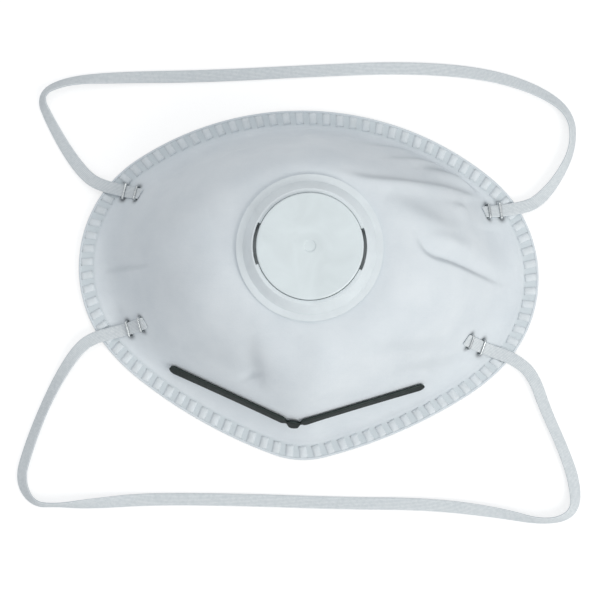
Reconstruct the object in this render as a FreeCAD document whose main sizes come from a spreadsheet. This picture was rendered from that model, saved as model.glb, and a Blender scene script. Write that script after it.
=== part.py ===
# Disposable dust mask with an exhalation valve, as a parametric document.
#
# The mask lies on its rim: +Z points out of the mask's front, away from the wearer, the nose is
# towards -Y, the chin towards +Y and X = 0 is the middle plane. The rim lies on Z = 0 and is
# centred on the origin. Every length is in millimetres and every angle in degrees.
import FreeCAD, Part
import Sketcher
import functools
import math
import os

Vector = FreeCAD.Vector
UP = Vector(0, 0, 1)

doc = FreeCAD.newDocument("dust_mask")
sheet = doc.addObject("Spreadsheet::Sheet", "sizes")

# Driving sizes: alias, value, what it is. A value that starts with = is worked out from others.
SIZES = [
    # Rim outline: tangent arcs from the nose tip to the chin, the same on both sides.
    ("nose_tip_radius", "29", "round of the nose tip"),
    ("nose_tip_turn", "17.2", "how far the nose tip turns each side of the middle"),
    ("nose_flank_radius", "167", "nearly straight flank beside the nose"),
    ("nose_flank_turn", "18", "how far the flank turns"),
    ("cheek_radius", "70", "round between flank and side"),
    ("cheek_turn", "12", "how far the cheek turns"),
    ("side_radius", "43.9", "round of the sides, in front of the ears"),
    ("side_turn", "96.3", "how far the side turns"),
    # Cup: from the flat rim flange up to the round platform that carries the valve.
    ("flange_width", "5.8", "flat welded flange round the rim"),
    ("cup_height", "42", "floor to the top of the valve platform"),
    ("platform_radius", "25", "flat platform under the valve"),
    ("valve_offset", "9", "valve axis from the middle of the rim, towards the chin"),
    ("foot_reach", "0.25", "share of the slope that flares out of the flange"),
    ("crown_reach", "0.42", "share of the slope where it turns in to the platform"),
    ("slope_bands", "8", "moulded bands from the flange to the platform"),
    ("layer_lean", "0.6", "how far a deeper surface moves inwards, as a share of its depth"),
    ("cover_wall", "0.5", "spunbond outer cover"),
    ("filter_wall", "0.6", "meltblown filter layer"),
    ("shell_wall", "1.0", "needle-felt support shell with its soft inner face"),
    ("stack_wall", "=cover_wall + filter_wall + shell_wall", "all layers together"),
    # Weld pattern: short pressed bars across the flange.
    ("weld_pitch", "4.75", "bar to bar, along the rim"),
    ("weld_width", "2.1", "one bar, along the rim"),
    ("weld_length", "4.2", "one bar, across the flange"),
    ("weld_depth", "0.25", "how far a bar is pressed in"),
    ("weld_edge", "0.7", "plain edge outside the bars"),
    # Valve: heights are above the platform.
    ("valve_flange_radius", "24", "valve base where it lies on the cup"),
    ("valve_flange_wall", "1.2", "thickness of that flange"),
    ("barrel_radius", "15", "barrel that passes through the cup"),
    ("barrel_wall", "1.6", "wall of the barrel"),
    ("barrel_bore_radius", "=barrel_radius - barrel_wall", "inside of the barrel"),
    ("barrel_gap", "0.15", "clearance between the barrel and the layers"),
    ("seat_rise", "0.4", "seat bead above the flange"),
    ("seat_wall", "0.8", "width of the seat bead"),
    ("seat_top", "=valve_flange_wall + seat_rise", "where the diaphragm rests"),
    ("seat_outer_radius", "=barrel_bore_radius + seat_wall", "outside of the seat bead"),
    ("hub_radius", "2.4", "hub in the middle of the barrel"),
    ("hub_height", "1.6", "hub and spokes, below the seat"),
    ("hub_bottom", "=seat_top - hub_height", "underside of hub and spokes"),
    ("spoke_width", "1.3", "spoke between hub and barrel"),
    ("spoke_count", "4", "spokes of the hub"),
    ("pin_radius", "1", "pin that guides the diaphragm"),
    ("pin_rise", "1.8", "pin above the seat"),
    ("pin_height", "=hub_height + pin_rise", "pin above the underside of the hub"),
    ("pin_gap", "0.08", "radial clearance of the diaphragm on the pin"),
    ("diaphragm_bore_radius", "=pin_radius + pin_gap", "hole of the diaphragm"),
    ("diaphragm_overlap", "0.5", "diaphragm beyond the seat bead"),
    ("diaphragm_radius", "=seat_outer_radius + diaphragm_overlap", "diaphragm disc"),
    ("diaphragm_wall", "0.5", "thickness of the diaphragm"),
    ("diaphragm_top", "=seat_top + diaphragm_wall", "top of the resting diaphragm"),
    ("diaphragm_lift", "1.2", "travel of the diaphragm"),
    ("stop_gap", "0.3", "clearance under the stop at full lift"),
    ("stop_bottom", "=diaphragm_top + diaphragm_lift + stop_gap", "underside of the stop post"),
    ("stop_radius", "2.2", "stop post under the cover"),
    ("cap_radius", "17.4", "valve cover"),
    ("cap_rise", "7", "platform to the top of the cover"),
    ("cap_wall", "1.1", "wall of the cover"),
    ("cap_under", "=cap_rise - cap_wall", "underside of the cover's top"),
    ("cap_inner_radius", "=cap_radius - cap_wall", "inside of the cover's skirt"),
    ("cap_edge_round", "0.6", "round of the cover's top edge"),
    ("dimple_radius", "2.1", "moulded dimple in the middle of the cover"),
    ("dimple_depth", "0.35", "depth of that dimple"),
    ("dimple_floor_radius", "=dimple_radius - dimple_depth", "flat floor of the dimple"),
    ("dimple_floor", "=cap_rise - dimple_depth", "height of the dimple's floor"),
    ("window_angle", "52", "angle that an outlet window spans in the skirt"),
    ("window_margin", "0.6", "window to the top of the cover, inside"),
    ("window_top", "=cap_under - window_margin", "upper edge of a window"),
    ("cut_overrun", "0.5", "how far a cut runs past the wall it opens"),
    ("window_inner_radius", "=cap_inner_radius - cut_overrun", "inner end of the window cut"),
    ("window_outer_radius", "=cap_radius + cut_overrun", "outer end of the window cut"),
    ("cap_gap", "0.2", "clearance between the cover and the bezel"),
    ("bezel_bore_radius", "=cap_radius + cap_gap", "inside of the bezel"),
    ("bezel_rise", "5.8", "platform to the top of the bezel"),
    ("bezel_top_wall", "1.3", "bezel at its top edge"),
    ("bezel_top_radius", "=bezel_bore_radius + bezel_top_wall", "outside of the bezel's top"),
    ("bezel_foot_radius", "21.8", "bezel where it meets the flange"),
    ("outlet_depth", "0.9", "how far the bezel is cut back at an outlet"),
    ("outlet_angle", "44", "angle that an outlet spans"),
    ("outlet_inner_radius", "=bezel_bore_radius - cap_gap / 2", "inner end of the outlet cut"),
    ("outlet_outer_radius", "=bezel_bore_radius + outlet_depth", "outer end of the outlet cut"),
    ("outlet_cut_top", "=bezel_rise + cut_overrun", "upper end of the outlet cut"),
    ("clamp_radius", "19.5", "clamp ring inside the cup"),
    ("clamp_wall", "1.6", "thickness of the clamp ring"),
    ("clamp_gap", "0.05", "clearance of the clamp ring on the barrel"),
    ("clamp_bore_radius", "=barrel_radius + clamp_gap", "inside of the clamp ring"),
    ("clamp_top", "=-stack_wall", "clamp ring against the support shell"),
    ("clamp_bottom", "=clamp_top - clamp_wall", "underside of the clamp ring"),
    ("clamp_chamfer", "0.5", "chamfer of the clamp ring's outer edge"),
    ("snap_reach", "0.35", "snap lip beyond the barrel"),
    ("snap_height", "0.6", "height of the snap lip"),
    ("snap_radius", "=barrel_radius + snap_reach", "outside of the snap lip"),
    ("snap_bottom", "=clamp_bottom - snap_height", "lower end of the barrel"),
    # Nose clip and its pad, on the slope above the nose.
    ("clip_half_span", "42.6", "middle to the tip of the clip, seen from the front"),
    ("clip_bend_from_rim", "12.2", "nose tip of the rim to the bend of the clip"),
    ("clip_tip_advance", "16.2", "bend to tips, towards the chin"),
    ("clip_bend_round", "3.5", "half length of the rounded bend"),
    ("clip_width", "4", "width of the strip"),
    ("clip_wall", "0.9", "thickness of the strip"),
    ("pad_half_span", "38", "middle to the end of the foam pad"),
    ("pad_bend_round", "10", "half length of the pad's rounded bend"),
    ("pad_width", "8", "width of the foam pad"),
    ("pad_wall", "3.5", "thickness of the foam pad"),
    ("glue_line", "0.45", "between a strip and the cup"),
    # Straps: flat elastic, stapled to the cup near the rim.
    ("strap_width", "4.2", "width of the elastic"),
    ("strap_wall", "0.7", "thickness of the elastic"),
    ("strap_split", "0.3", "gap between a strap's fixed tab and its free loop"),
    ("strap_clearance", "0.6", "free loop to the rim"),
    ("upper_exit_y", "29.6", "where the upper strap crosses the rim"),
    ("upper_slant", "10", "upper tab's slant to the X axis"),
    ("upper_staple_from_rim", "6.2", "rim to the outer staple of the upper tab"),
    ("lower_exit_y", "-21.3", "where the lower strap crosses the rim"),
    ("lower_slant", "-17", "lower tab's slant to the X axis"),
    ("lower_staple_from_rim", "10.8", "rim to the outer staple of the lower tab"),
    ("staple_pitch", "4.6", "outer staple to inner staple, seen from the front"),
    ("tab_tail", "2.4", "strap end beyond the inner staple"),
    # Staples of square wire, with their legs clinched flush into the felt inside the cup.
    ("staple_wire", "0.5", "wire of the staple"),
    ("staple_half_crown", "3.0", "middle to the outside of a leg"),
    ("staple_clearance", "0.12", "round each leg"),
    ("crown_gap", "0.3", "between crown and strap"),
    ("clinch_length", "1.9", "bent end of a leg"),
]
for row, (alias, value, note) in enumerate(SIZES, start=1):
    sheet.set("A%d" % row, note)
    sheet.set("B%d" % row, value)
    sheet.setAlias("B%d" % row, alias)
doc.recompute()


@functools.cache
def size(alias):
    """One value of the spreadsheet."""
    return float(sheet.get(alias))


def bound(name):
    """Expression that reads one value of the spreadsheet."""
    return "sizes." + name


# ---------------------------------------------------------------- rim outline
ARC_NAMES = ["nose_tip", "nose_flank", "cheek", "side"]


@functools.cache
def rim_arcs(inset):
    """The rim's arcs, moved inwards by inset: centre x and y, radius, first and last heading.

    The heading is the direction of travel, 0 along +X at the nose tip and rising to a full turn.
    The chin's arc closes the outline, so its radius follows from the others.
    """
    radii = [size(name + "_radius") for name in ARC_NAMES]
    headings = [0.0]
    for name in ARC_NAMES:
        headings.append(headings[-1] + math.radians(size(name + "_turn")))
    reach = 0.0
    for radius, first, last in zip(radii, headings, headings[1:]):
        reach += radius * (math.sin(last) - math.sin(first))
    radii.append(reach / math.sin(headings[-1]))
    centres = [(0.0, radii[0])]
    for index in range(1, len(radii)):
        step = radii[index - 1] - radii[index]
        x, y = centres[-1]
        centres.append((x + step * math.sin(headings[index]), y - step * math.cos(headings[index])))
    middle = (centres[-1][1] + radii[-1]) / 2
    centres = [(x, y - middle) for x, y in centres]
    turn = 2 * math.pi
    arcs = [(*centres[0], radii[0] - inset, -headings[1], headings[1])]
    for index in (1, 2, 3):
        arcs.append((*centres[index], radii[index] - inset, headings[index], headings[index + 1]))
    arcs.append((*centres[4], radii[4] - inset, headings[4], turn - headings[4]))
    for x, y, radius, first, last in arcs[3:0:-1]:
        arcs.append((-x, y, radius, turn - last, turn - first))
    return arcs


# Heading at which the outline starts, at one end of the nose tip's arc.
RIM_START = rim_arcs(0)[0][3]


def on_circle(x, y, radius, heading, z=0.0):
    """The point of a circle where the direction of travel is heading."""
    return Vector(x + radius * math.sin(heading), y - radius * math.cos(heading), z)


def arcs_wire(arcs, z):
    """Closed wire of tangent arcs at height z."""
    edges = []
    for x, y, radius, first, last in arcs:
        ends = [on_circle(x, y, radius, heading, z) for heading in (first, (first + last) / 2, last)]
        edges.append(Part.Arc(*ends).toShape())
    return Part.Wire(edges)


def rim_x(y):
    """Half width of the rim at y."""
    widest = 0.0
    for x, centre_y, radius, first, last in rim_arcs(0):
        if abs(y - centre_y) < radius and x >= 0 and last <= math.pi + 1e-9:
            reach = x + math.sqrt(radius**2 - (y - centre_y)**2)
            heading = math.atan2(reach - x, centre_y - y)
            if first - 1e-9 <= heading <= last + 1e-9:
                widest = max(widest, reach)
    return widest


# ---------------------------------------------------------------- cup surface
def bezier(start, leave, arrive, end, t):
    """One coordinate of a cubic Bezier curve."""
    back = 1 - t
    return start * back**3 + 3 * leave * back**2 * t + 3 * arrive * back * t**2 + end * t**3


def slope_profile():
    """Bands of the slope: inward share, and share of the height, from the flange to the platform."""
    bands = int(round(size("slope_bands")))
    steps = [step / bands for step in range(bands + 1)]
    inward = [bezier(0, size("foot_reach"), size("crown_reach"), 1, step) for step in steps]
    return list(zip(inward, [bezier(0, 0, 1, 1, step) for step in steps]))


def level_arcs(share, depth):
    """Level line of the cup: the rim's inner edge at share 0, the round platform at share 1.

    Both are chains of arcs with the same headings, so every level between them is one too.
    """
    lean = size("layer_lean") * depth
    platform = size("platform_radius") - lean
    level = []
    for x, y, radius, first, last in rim_arcs(size("flange_width") + lean):
        centre = (x * (1 - share), y * (1 - share) + size("valve_offset") * share)
        level.append((*centre, radius * (1 - share) + platform * share, first, last))
    return level


def height_at(rise, depth):
    """Height of the cup's surface at a share of its rise, at one depth under the outer surface."""
    bottom = size("stack_wall")
    return bottom + (size("cup_height") - bottom) * rise - depth


def cup_skin(depth):
    """Surface of the slope at one depth, lofted from level to level, and its first and last level."""
    levels = [arcs_wire(level_arcs(share, depth), height_at(rise, depth)) for share, rise in slope_profile()]
    return Part.makeLoft(levels, False, True, False).Faces, levels[0], levels[-1]


def flange_face(z, hole):
    """Flat face from the rim to the foot of the slope."""
    return Part.Face([arcs_wire(rim_arcs(0), z), hole], "Part::FaceMakerBullseye")


def cup_layer(upper_depth, under_depth):
    """One layer of the cup as a closed solid: flange, slope and platform."""
    faces = []
    for depth in (upper_depth, under_depth):
        slope, foot, crown = cup_skin(depth)
        faces += slope
        faces += [flange_face(height_at(0, depth), foot), Part.Face(crown)]
    edge = arcs_wire(rim_arcs(0), height_at(0, under_depth))
    faces += edge.extrude(UP * (under_depth - upper_depth)).Faces
    shell = Part.makeShell(faces)
    shell.sewShape()
    solid = Part.makeSolid(shell)
    if solid.Volume < 0:
        solid.reverse()
    return solid


def surface_point(heading, share):
    """Point of the cup's outer surface, from a heading round the cup and an inward share."""
    heading = (heading - RIM_START) % (2 * math.pi) + RIM_START
    arc = [arc for arc in level_arcs(share, 0) if arc[3] <= heading + 1e-9][-1]
    rise = 0.0
    profile = slope_profile()
    for (near, low), (far, high) in zip(profile, profile[1:]):
        if near <= share <= far:
            rise = low + (high - low) * (share - near) / (far - near)
    return on_circle(*arc[:3], heading, height_at(rise, 0))


def level_crossing(x, y, share):
    """Where the ray from the valve axis through x and y meets a level: distance and heading."""
    away = math.hypot(x, y - size("valve_offset"))
    along_x = x / away
    along_y = (y - size("valve_offset")) / away
    for centre_x, centre_y, radius, first, last in level_arcs(share, 0):
        offset_y = size("valve_offset") - centre_y
        half = along_y * offset_y - along_x * centre_x
        square = half**2 - centre_x**2 - offset_y**2 + radius**2
        if square < 0:
            continue
        distance = math.sqrt(square) - half
        turned = math.atan2(distance * along_x - centre_x, -distance * along_y - offset_y)
        heading = (turned - RIM_START) % (2 * math.pi) + RIM_START
        if first - 1e-9 <= heading <= last + 1e-9:
            return distance, heading
    raise ValueError("no level crossing at %.2f, %.2f" % (x, y))


def place_on_cup(x, y):
    """Point and outward normal of the outer surface over x and y, on the slope or the flange."""
    away = math.hypot(x, y - size("valve_offset"))
    low, high = 0.0, 0.97
    if away >= level_crossing(x, y, low)[0]:
        return Vector(x, y, size("stack_wall")), Vector(UP)
    for _ in range(30):
        share = (low + high) / 2
        distance, heading = level_crossing(x, y, share)
        if distance > away:
            low = share
        else:
            high = share
    # The normal is taken over a short stretch, so that it turns evenly from band to band.
    reach = 0.04
    turn = surface_point(heading + reach, share) - surface_point(heading - reach, share)
    inward = surface_point(heading, share + reach) - surface_point(heading, max(share - reach, 0))
    return surface_point(heading, share), turn.cross(inward).normalize()


def strip_on_cup(path, width, wall, lift):
    """Flat strip that follows the cup under a path of x, y places. lift is its middle's height."""
    middles = []
    normals = []
    for x, y in path:
        point, normal = place_on_cup(x, y)
        middles.append(point + normal * lift)
        normals.append(normal)
    sections = []
    for index, (middle, normal) in enumerate(zip(middles, normals)):
        ahead = middles[min(index + 1, len(path) - 1)] - middles[max(index - 1, 0)]
        across = normal.cross(ahead).normalize() * (width / 2)
        out = across.cross(ahead).normalize() * (wall / 2)
        corners = [middle + across + out, middle - across + out, middle - across - out, middle + across - out]
        sections.append(Part.makePolygon(corners + corners[:1]))
    return Part.makeLoft(sections, True, True, False)


def feature(label, shape):
    """Part::Feature of a shape that was made from the sheet's values."""
    item = doc.addObject("Part::Feature", label)
    item.Shape = shape
    item.Label = label
    return item


# ---------------------------------------------------------------- straps: places
def strap_side(name, side):
    """Places of one strap end, on side -1 or 1: exit, inward direction, staples and split plane."""
    slant = math.radians(size(name + "_slant"))
    exit_y = size(name + "_exit_y")
    exit_x = rim_x(exit_y)
    inward = Vector(-side * math.cos(slant), -math.sin(slant), 0)
    exit_point = Vector(side * exit_x, exit_y, 0)
    outer = exit_point + inward * size(name + "_staple_from_rim")
    inner = outer + inward * size("staple_pitch")
    reach = max(rim_x(exit_y - size("strap_width") / 2), rim_x(exit_y + size("strap_width") / 2))
    split_x = reach + size("strap_clearance")
    split_y = exit_y + (split_x - exit_x) * math.tan(slant)
    return {"exit": exit_point, "inward": inward, "staples": [outer, inner], "split": (split_x, split_y)}


STRAP_NAMES = ("upper", "lower")
SIDES = (("left", -1), ("right", 1))
ENDS = {(strap, side): strap_side(strap, sign) for strap in STRAP_NAMES for side, sign in SIDES}


# ---------------------------------------------------------------- staples
def staple_frame(end, index):
    """Placement of one staple: X along its crown, Z out of the cup."""
    place = end["staples"][index]
    point, normal = place_on_cup(place.x, place.y)
    crown = normal.cross(end["inward"]).normalize()
    return FreeCAD.Placement(point, FreeCAD.Rotation(crown, normal.cross(crown), normal, "XZY"))


def box_between(low, high):
    """Solid box between two corners."""
    span = high - low
    return Part.makeBox(span.x, span.y, span.z, low)


def staple_shape():
    """Staple of square wire, with the middle of its crown over the origin and its legs clinched."""
    wire = size("staple_wire")
    half = size("staple_half_crown")
    under_crown = size("glue_line") + size("strap_wall") + size("crown_gap")
    inner_face = -size("stack_wall")
    crown = box_between(Vector(-half, -wire / 2, under_crown), Vector(half, wire / 2, under_crown + wire))
    pieces = []
    for sign in (-1, 1):
        leg_low = min(sign * half, sign * (half - wire))
        leg = box_between(Vector(leg_low, -wire / 2, inner_face), Vector(leg_low + wire, wire / 2, under_crown))
        low, high = sorted((sign * half, sign * (half - size("clinch_length"))))
        clinch = box_between(Vector(low, -wire / 2, inner_face), Vector(high, wire / 2, inner_face + wire))
        pieces += [leg, clinch]
    return crown.multiFuse(pieces).removeSplitter()


def staple_cutters(clear):
    """What a staple at the origin needs: two slots for its legs and a groove for the clinched ends."""
    wire = size("staple_wire")
    half = size("staple_half_crown")
    top = size("strap_wall") + size("glue_line") + clear
    inner_face = -size("stack_wall")
    bottom = inner_face - size("cut_overrun")
    side = wire / 2 + clear
    groove_top = inner_face + wire + clear
    cutters = [box_between(Vector(-half, -side, bottom), Vector(half, side, groove_top))]
    for sign in (-1, 1):
        low, high = sorted((sign * (half + clear), sign * (half - wire - clear)))
        cutters.append(box_between(Vector(low, -side, bottom), Vector(high, side, top)))
    return cutters[0].multiFuse(cutters[1:]).removeSplitter()


FRAMES = {}
for (strap, side), end in ENDS.items():
    for index, place in enumerate(("outer", "inner")):
        FRAMES["staple_%s_%s_%s" % (strap, side, place)] = staple_frame(end, index)

staple_cuts = []
for frame in FRAMES.values():
    cutter = staple_cutters(size("staple_clearance"))
    cutter.Placement = frame
    staple_cuts.append(cutter)
leg_holes = feature("leg_holes", Part.makeCompound(staple_cuts))

parts = []
for label, frame in FRAMES.items():
    staple = feature(label, staple_shape())
    staple.Placement = frame
    parts.append(staple)


# ---------------------------------------------------------------- cup layers
valve_hole = doc.addObject("Part::Cylinder", "valve_hole")
valve_hole.setExpression("Radius", "sizes.barrel_radius + sizes.barrel_gap")
valve_hole.setExpression("Height", "sizes.cup_height")
valve_hole.setExpression("Placement.Base.y", bound("valve_offset"))
valve_hole.setExpression("Placement.Base.z", "sizes.cup_height / 2")


def weld_bars():
    """Cutters of the weld pattern: bars across the flange, evenly spaced along the rim."""
    arcs = rim_arcs(size("weld_edge"))
    lengths = [radius * (last - first) for _, _, radius, first, last in arcs]
    count = int(round(sum(lengths) / size("weld_pitch")))
    top = size("stack_wall")
    width, length = size("weld_width"), size("weld_length")
    bars = []
    for index in range(count):
        along = sum(lengths) * index / count
        for arc, arc_length in zip(arcs, lengths):
            if along <= arc_length:
                break
            along -= arc_length
        heading = arc[3] + along / arc[2]
        bar = Part.makeBox(width, length, size("weld_depth") * 2, Vector(-width / 2, 0, -size("weld_depth")))
        turn = FreeCAD.Rotation(UP, math.degrees(heading))
        bar.Placement = FreeCAD.Placement(on_circle(*arc[:3], heading, top), turn)
        bars.append(bar)
    return Part.makeCompound(bars)


welds = feature("weld_bars", weld_bars())

LAYERS = (("outer_cover", "cover_wall"), ("filter_layer", "filter_wall"), ("support_shell", "shell_wall"))
depth = 0.0
for label, wall in LAYERS:
    blank = feature(label + "_blank", cup_layer(depth, depth + size(wall)))
    depth += size(wall)
    cutters = [valve_hole, leg_holes]
    if label == "outer_cover":
        cutters.append(welds)
    for index, cutter in enumerate(cutters):
        cut = doc.addObject("Part::Cut", "%s_cut_%d" % (label, index))
        cut.Base = blank
        cut.Tool = cutter
        blank = cut
    blank.Label = label
    parts.append(blank)


# ---------------------------------------------------------------- nose clip and pad
def nose_path(half_span, round_half, steps):
    """V over the nose: straight legs that meet in a rounded bend, as x, y places."""
    bend_y = min(y - radius for _, y, radius, _, _ in rim_arcs(0)[:1]) + size("clip_bend_from_rim")
    rise = size("clip_tip_advance") / size("clip_half_span")
    path = []
    for step in range(-steps, steps + 1):
        x = half_span * step / steps
        if abs(x) < round_half:
            y = bend_y + rise * (x * x + round_half**2) / (2 * round_half)
        else:
            y = bend_y + rise * abs(x)
        path.append((x, y))
    return path


clip_lift = size("glue_line") + size("clip_wall") / 2
clip_path = nose_path(size("clip_half_span"), size("clip_bend_round"), 12)
parts.append(feature("nose_clip", strip_on_cup(clip_path, size("clip_width"), size("clip_wall"), clip_lift)))
pad_lift = -size("stack_wall") - size("glue_line") - size("pad_wall") / 2
pad_path = nose_path(size("pad_half_span"), size("pad_bend_round"), 9)
parts.append(feature("nose_pad", strip_on_cup(pad_path, size("pad_width"), size("pad_wall"), pad_lift)))


# ---------------------------------------------------------------- valve
def origin_plane(body, role):
    """Origin plane of a body, by its role."""
    return [item for item in body.Origin.OriginFeatures if item.Role == role][0]


def new_body(label):
    """PartDesign body on the valve's axis, with its zero height on the platform."""
    body = doc.addObject("PartDesign::Body", label)
    body.Label = label
    body.setExpression("Placement.Base.y", bound("valve_offset"))
    body.setExpression("Placement.Base.z", bound("cup_height"))
    return body


def pin_vertex(sketch, line, axis, alias):
    """Fix one coordinate of a line's start at a sheet value, or on the axis if alias is empty."""
    kind, other = ("DistanceX", -2) if axis == "x" else ("DistanceY", -1)
    value = size(alias) if alias else 0.0
    if value == 0.0:
        sketch.addConstraint(Sketcher.Constraint("PointOnObject", line, 1, other))
    elif value > 0:
        index = sketch.addConstraint(Sketcher.Constraint(kind, -1, 1, line, 1, value))
        sketch.setExpression("Constraints[%d]" % index, bound(alias))
    else:
        index = sketch.addConstraint(Sketcher.Constraint(kind, line, 1, -1, 1, -value))
        sketch.setExpression("Constraints[%d]" % index, "-" + bound(alias))


def profile_sketch(body, name, corners):
    """Closed polygon on the body's XZ plane. Each corner is a pair of aliases, radius and height."""
    sketch = body.newObject("Sketcher::SketchObject", name)
    sketch.AttachmentSupport = [(origin_plane(body, "XZ_Plane"), "")]
    sketch.MapMode = "FlatFace"
    points = [Vector(size(r) if r else 0.0, size(z) if z else 0.0, 0) for r, z in corners]
    for start, end in zip(points, points[1:] + points[:1]):
        sketch.addGeometry(Part.LineSegment(start, end), False)
    for line in range(len(corners)):
        sketch.addConstraint(Sketcher.Constraint("Coincident", line, 2, (line + 1) % len(corners), 1))
    for line, (radius, height) in enumerate(corners):
        pin_vertex(sketch, line, "x", radius)
        pin_vertex(sketch, line, "y", height)
    return sketch


def revolve(body, name, corners):
    """Solid of revolution about the valve's axis."""
    sketch = profile_sketch(body, name + "_profile", corners)
    turned = body.newObject("PartDesign::Revolution", name)
    turned.Profile = sketch
    turned.ReferenceAxis = (sketch, ["V_Axis"])
    turned.Angle = 360
    body.Tip = turned
    return turned


def side_openings(body, name, corners, angle):
    """Two openings on opposite sides, each cut by part of a turn about the valve's axis."""
    doc.recompute()
    before = body.Shape.Volume
    sketch = profile_sketch(body, name + "_profile", corners)
    groove = body.newObject("PartDesign::Groove", name)
    groove.Profile = sketch
    groove.ReferenceAxis = (sketch, ["V_Axis"])
    groove.Midplane = True
    groove.setExpression("Angle", bound(angle))
    pattern = body.newObject("PartDesign::PolarPattern", name + "_pair")
    pattern.Originals = [groove]
    pattern.Axis = (sketch, ["V_Axis"])
    pattern.Angle = 360
    pattern.Occurrences = 2
    body.Tip = pattern
    doc.recompute()
    if body.Shape.Volume >= before:
        raise RuntimeError(name + " cuts nothing")


def flat_sketch(body, name, level):
    """Sketch parallel to the body's XY plane, at a height of the sheet."""
    sketch = body.newObject("Sketcher::SketchObject", name)
    sketch.AttachmentSupport = [(origin_plane(body, "XY_Plane"), "")]
    sketch.MapMode = "FlatFace"
    sketch.setExpression("AttachmentOffset.Base.z", bound(level))
    return sketch


def pad(body, name, sketch, length):
    """Pad of a sketch, upwards."""
    padded = body.newObject("PartDesign::Pad", name)
    padded.Profile = sketch
    padded.setExpression("Length", bound(length))
    body.Tip = padded
    return padded


def round_pad(body, name, radius, level, length):
    """Upright round boss on the valve's axis."""
    sketch = flat_sketch(body, name + "_circle", level)
    sketch.addGeometry(Part.Circle(Vector(0, 0, 0), UP, size(radius)), False)
    sketch.addConstraint(Sketcher.Constraint("Coincident", 0, 3, -1, 1))
    index = sketch.addConstraint(Sketcher.Constraint("Radius", 0, size(radius)))
    sketch.setExpression("Constraints[%d]" % index, bound(radius))
    return pad(body, name, sketch, length)


def circle_edges(shape, radius, height):
    """Names of the full circles of one radius at one height in the body's own frame."""
    names = []
    for index, edge in enumerate(shape.Edges, start=1):
        curve = edge.Curve
        if isinstance(curve, Part.Circle) and abs(curve.Radius - radius) < 0.01:
            if abs(edge.BoundBox.ZMin - height) < 0.01 and edge.BoundBox.ZLength < 0.01:
                names.append("Edge%d" % index)
    return names


def dress(body, kind, name, base, radius, height, amount):
    """Round or chamfer the circles of one radius at one height."""
    doc.recompute()
    names = circle_edges(base.Shape, size(radius), size(height))
    if not names:
        raise RuntimeError("no edge for " + name)
    dressed = body.newObject("PartDesign::" + kind, name)
    dressed.Base = (base, names)
    dressed.setExpression("Radius" if kind == "Fillet" else "Size", bound(amount))
    body.Tip = dressed
    return dressed


# Valve base: barrel with snap lip, flange, tapered bezel and raised seat.
base = new_body("valve_base")
revolve(base, "housing", [
    ("barrel_bore_radius", "snap_bottom"),
    ("snap_radius", "snap_bottom"),
    ("snap_radius", "clamp_bottom"),
    ("barrel_radius", "clamp_bottom"),
    ("barrel_radius", ""),
    ("valve_flange_radius", ""),
    ("valve_flange_radius", "valve_flange_wall"),
    ("bezel_foot_radius", "valve_flange_wall"),
    ("bezel_top_radius", "bezel_rise"),
    ("bezel_bore_radius", "bezel_rise"),
    ("bezel_bore_radius", "valve_flange_wall"),
    ("seat_outer_radius", "valve_flange_wall"),
    ("seat_outer_radius", "seat_top"),
    ("barrel_bore_radius", "seat_top"),
])
round_pad(base, "hub", "hub_radius", "hub_bottom", "hub_height")
round_pad(base, "guide_pin", "pin_radius", "hub_bottom", "pin_height")

spoke_sketch = flat_sketch(base, "spoke_outline", "hub_bottom")
spoke_reach = size("barrel_bore_radius") + size("barrel_wall") / 2
spoke_half = size("spoke_width") / 2
spoke_corners = [Vector(0, -spoke_half), Vector(spoke_reach, -spoke_half),
                 Vector(spoke_reach, spoke_half), Vector(0, spoke_half)]
for start, end in zip(spoke_corners, spoke_corners[1:] + spoke_corners[:1]):
    spoke_sketch.addGeometry(Part.LineSegment(start, end), False)
for line in range(4):
    spoke_sketch.addConstraint(Sketcher.Constraint("Coincident", line, 2, (line + 1) % 4, 1))
for line, kind in enumerate(("Horizontal", "Vertical", "Horizontal")):
    spoke_sketch.addConstraint(Sketcher.Constraint(kind, line))
spoke_sketch.addConstraint(Sketcher.Constraint("PointOnObject", 0, 1, -2))
spoke_sketch.addConstraint(Sketcher.Constraint("Symmetric", 0, 1, 3, 1, -1))
for line, value, expression in (
    (0, spoke_reach, "sizes.barrel_bore_radius + sizes.barrel_wall / 2"),
    (1, spoke_half * 2, "sizes.spoke_width"),
):
    row = spoke_sketch.addConstraint(Sketcher.Constraint("Distance", line, value))
    spoke_sketch.setExpression("Constraints[%d]" % row, expression)
spoke = pad(base, "spoke", spoke_sketch, "hub_height")
spokes = base.newObject("PartDesign::PolarPattern", "spokes")
spokes.Originals = [spoke]
spokes.Axis = (spoke_sketch, ["N_Axis"])
spokes.Angle = 360
spokes.setExpression("Occurrences", bound("spoke_count"))
base.Tip = spokes

side_openings(base, "outlet", [
    ("outlet_inner_radius", "valve_flange_wall"),
    ("outlet_outer_radius", "valve_flange_wall"),
    ("outlet_outer_radius", "outlet_cut_top"),
    ("outlet_inner_radius", "outlet_cut_top"),
], "outlet_angle")
parts.append(base)

# Diaphragm: silicone disc that lies on the seat and lifts along the pin.
diaphragm = new_body("valve_diaphragm")
revolve(diaphragm, "disc", [
    ("diaphragm_bore_radius", "seat_top"),
    ("diaphragm_radius", "seat_top"),
    ("diaphragm_radius", "diaphragm_top"),
    ("diaphragm_bore_radius", "diaphragm_top"),
])
parts.append(diaphragm)

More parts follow.
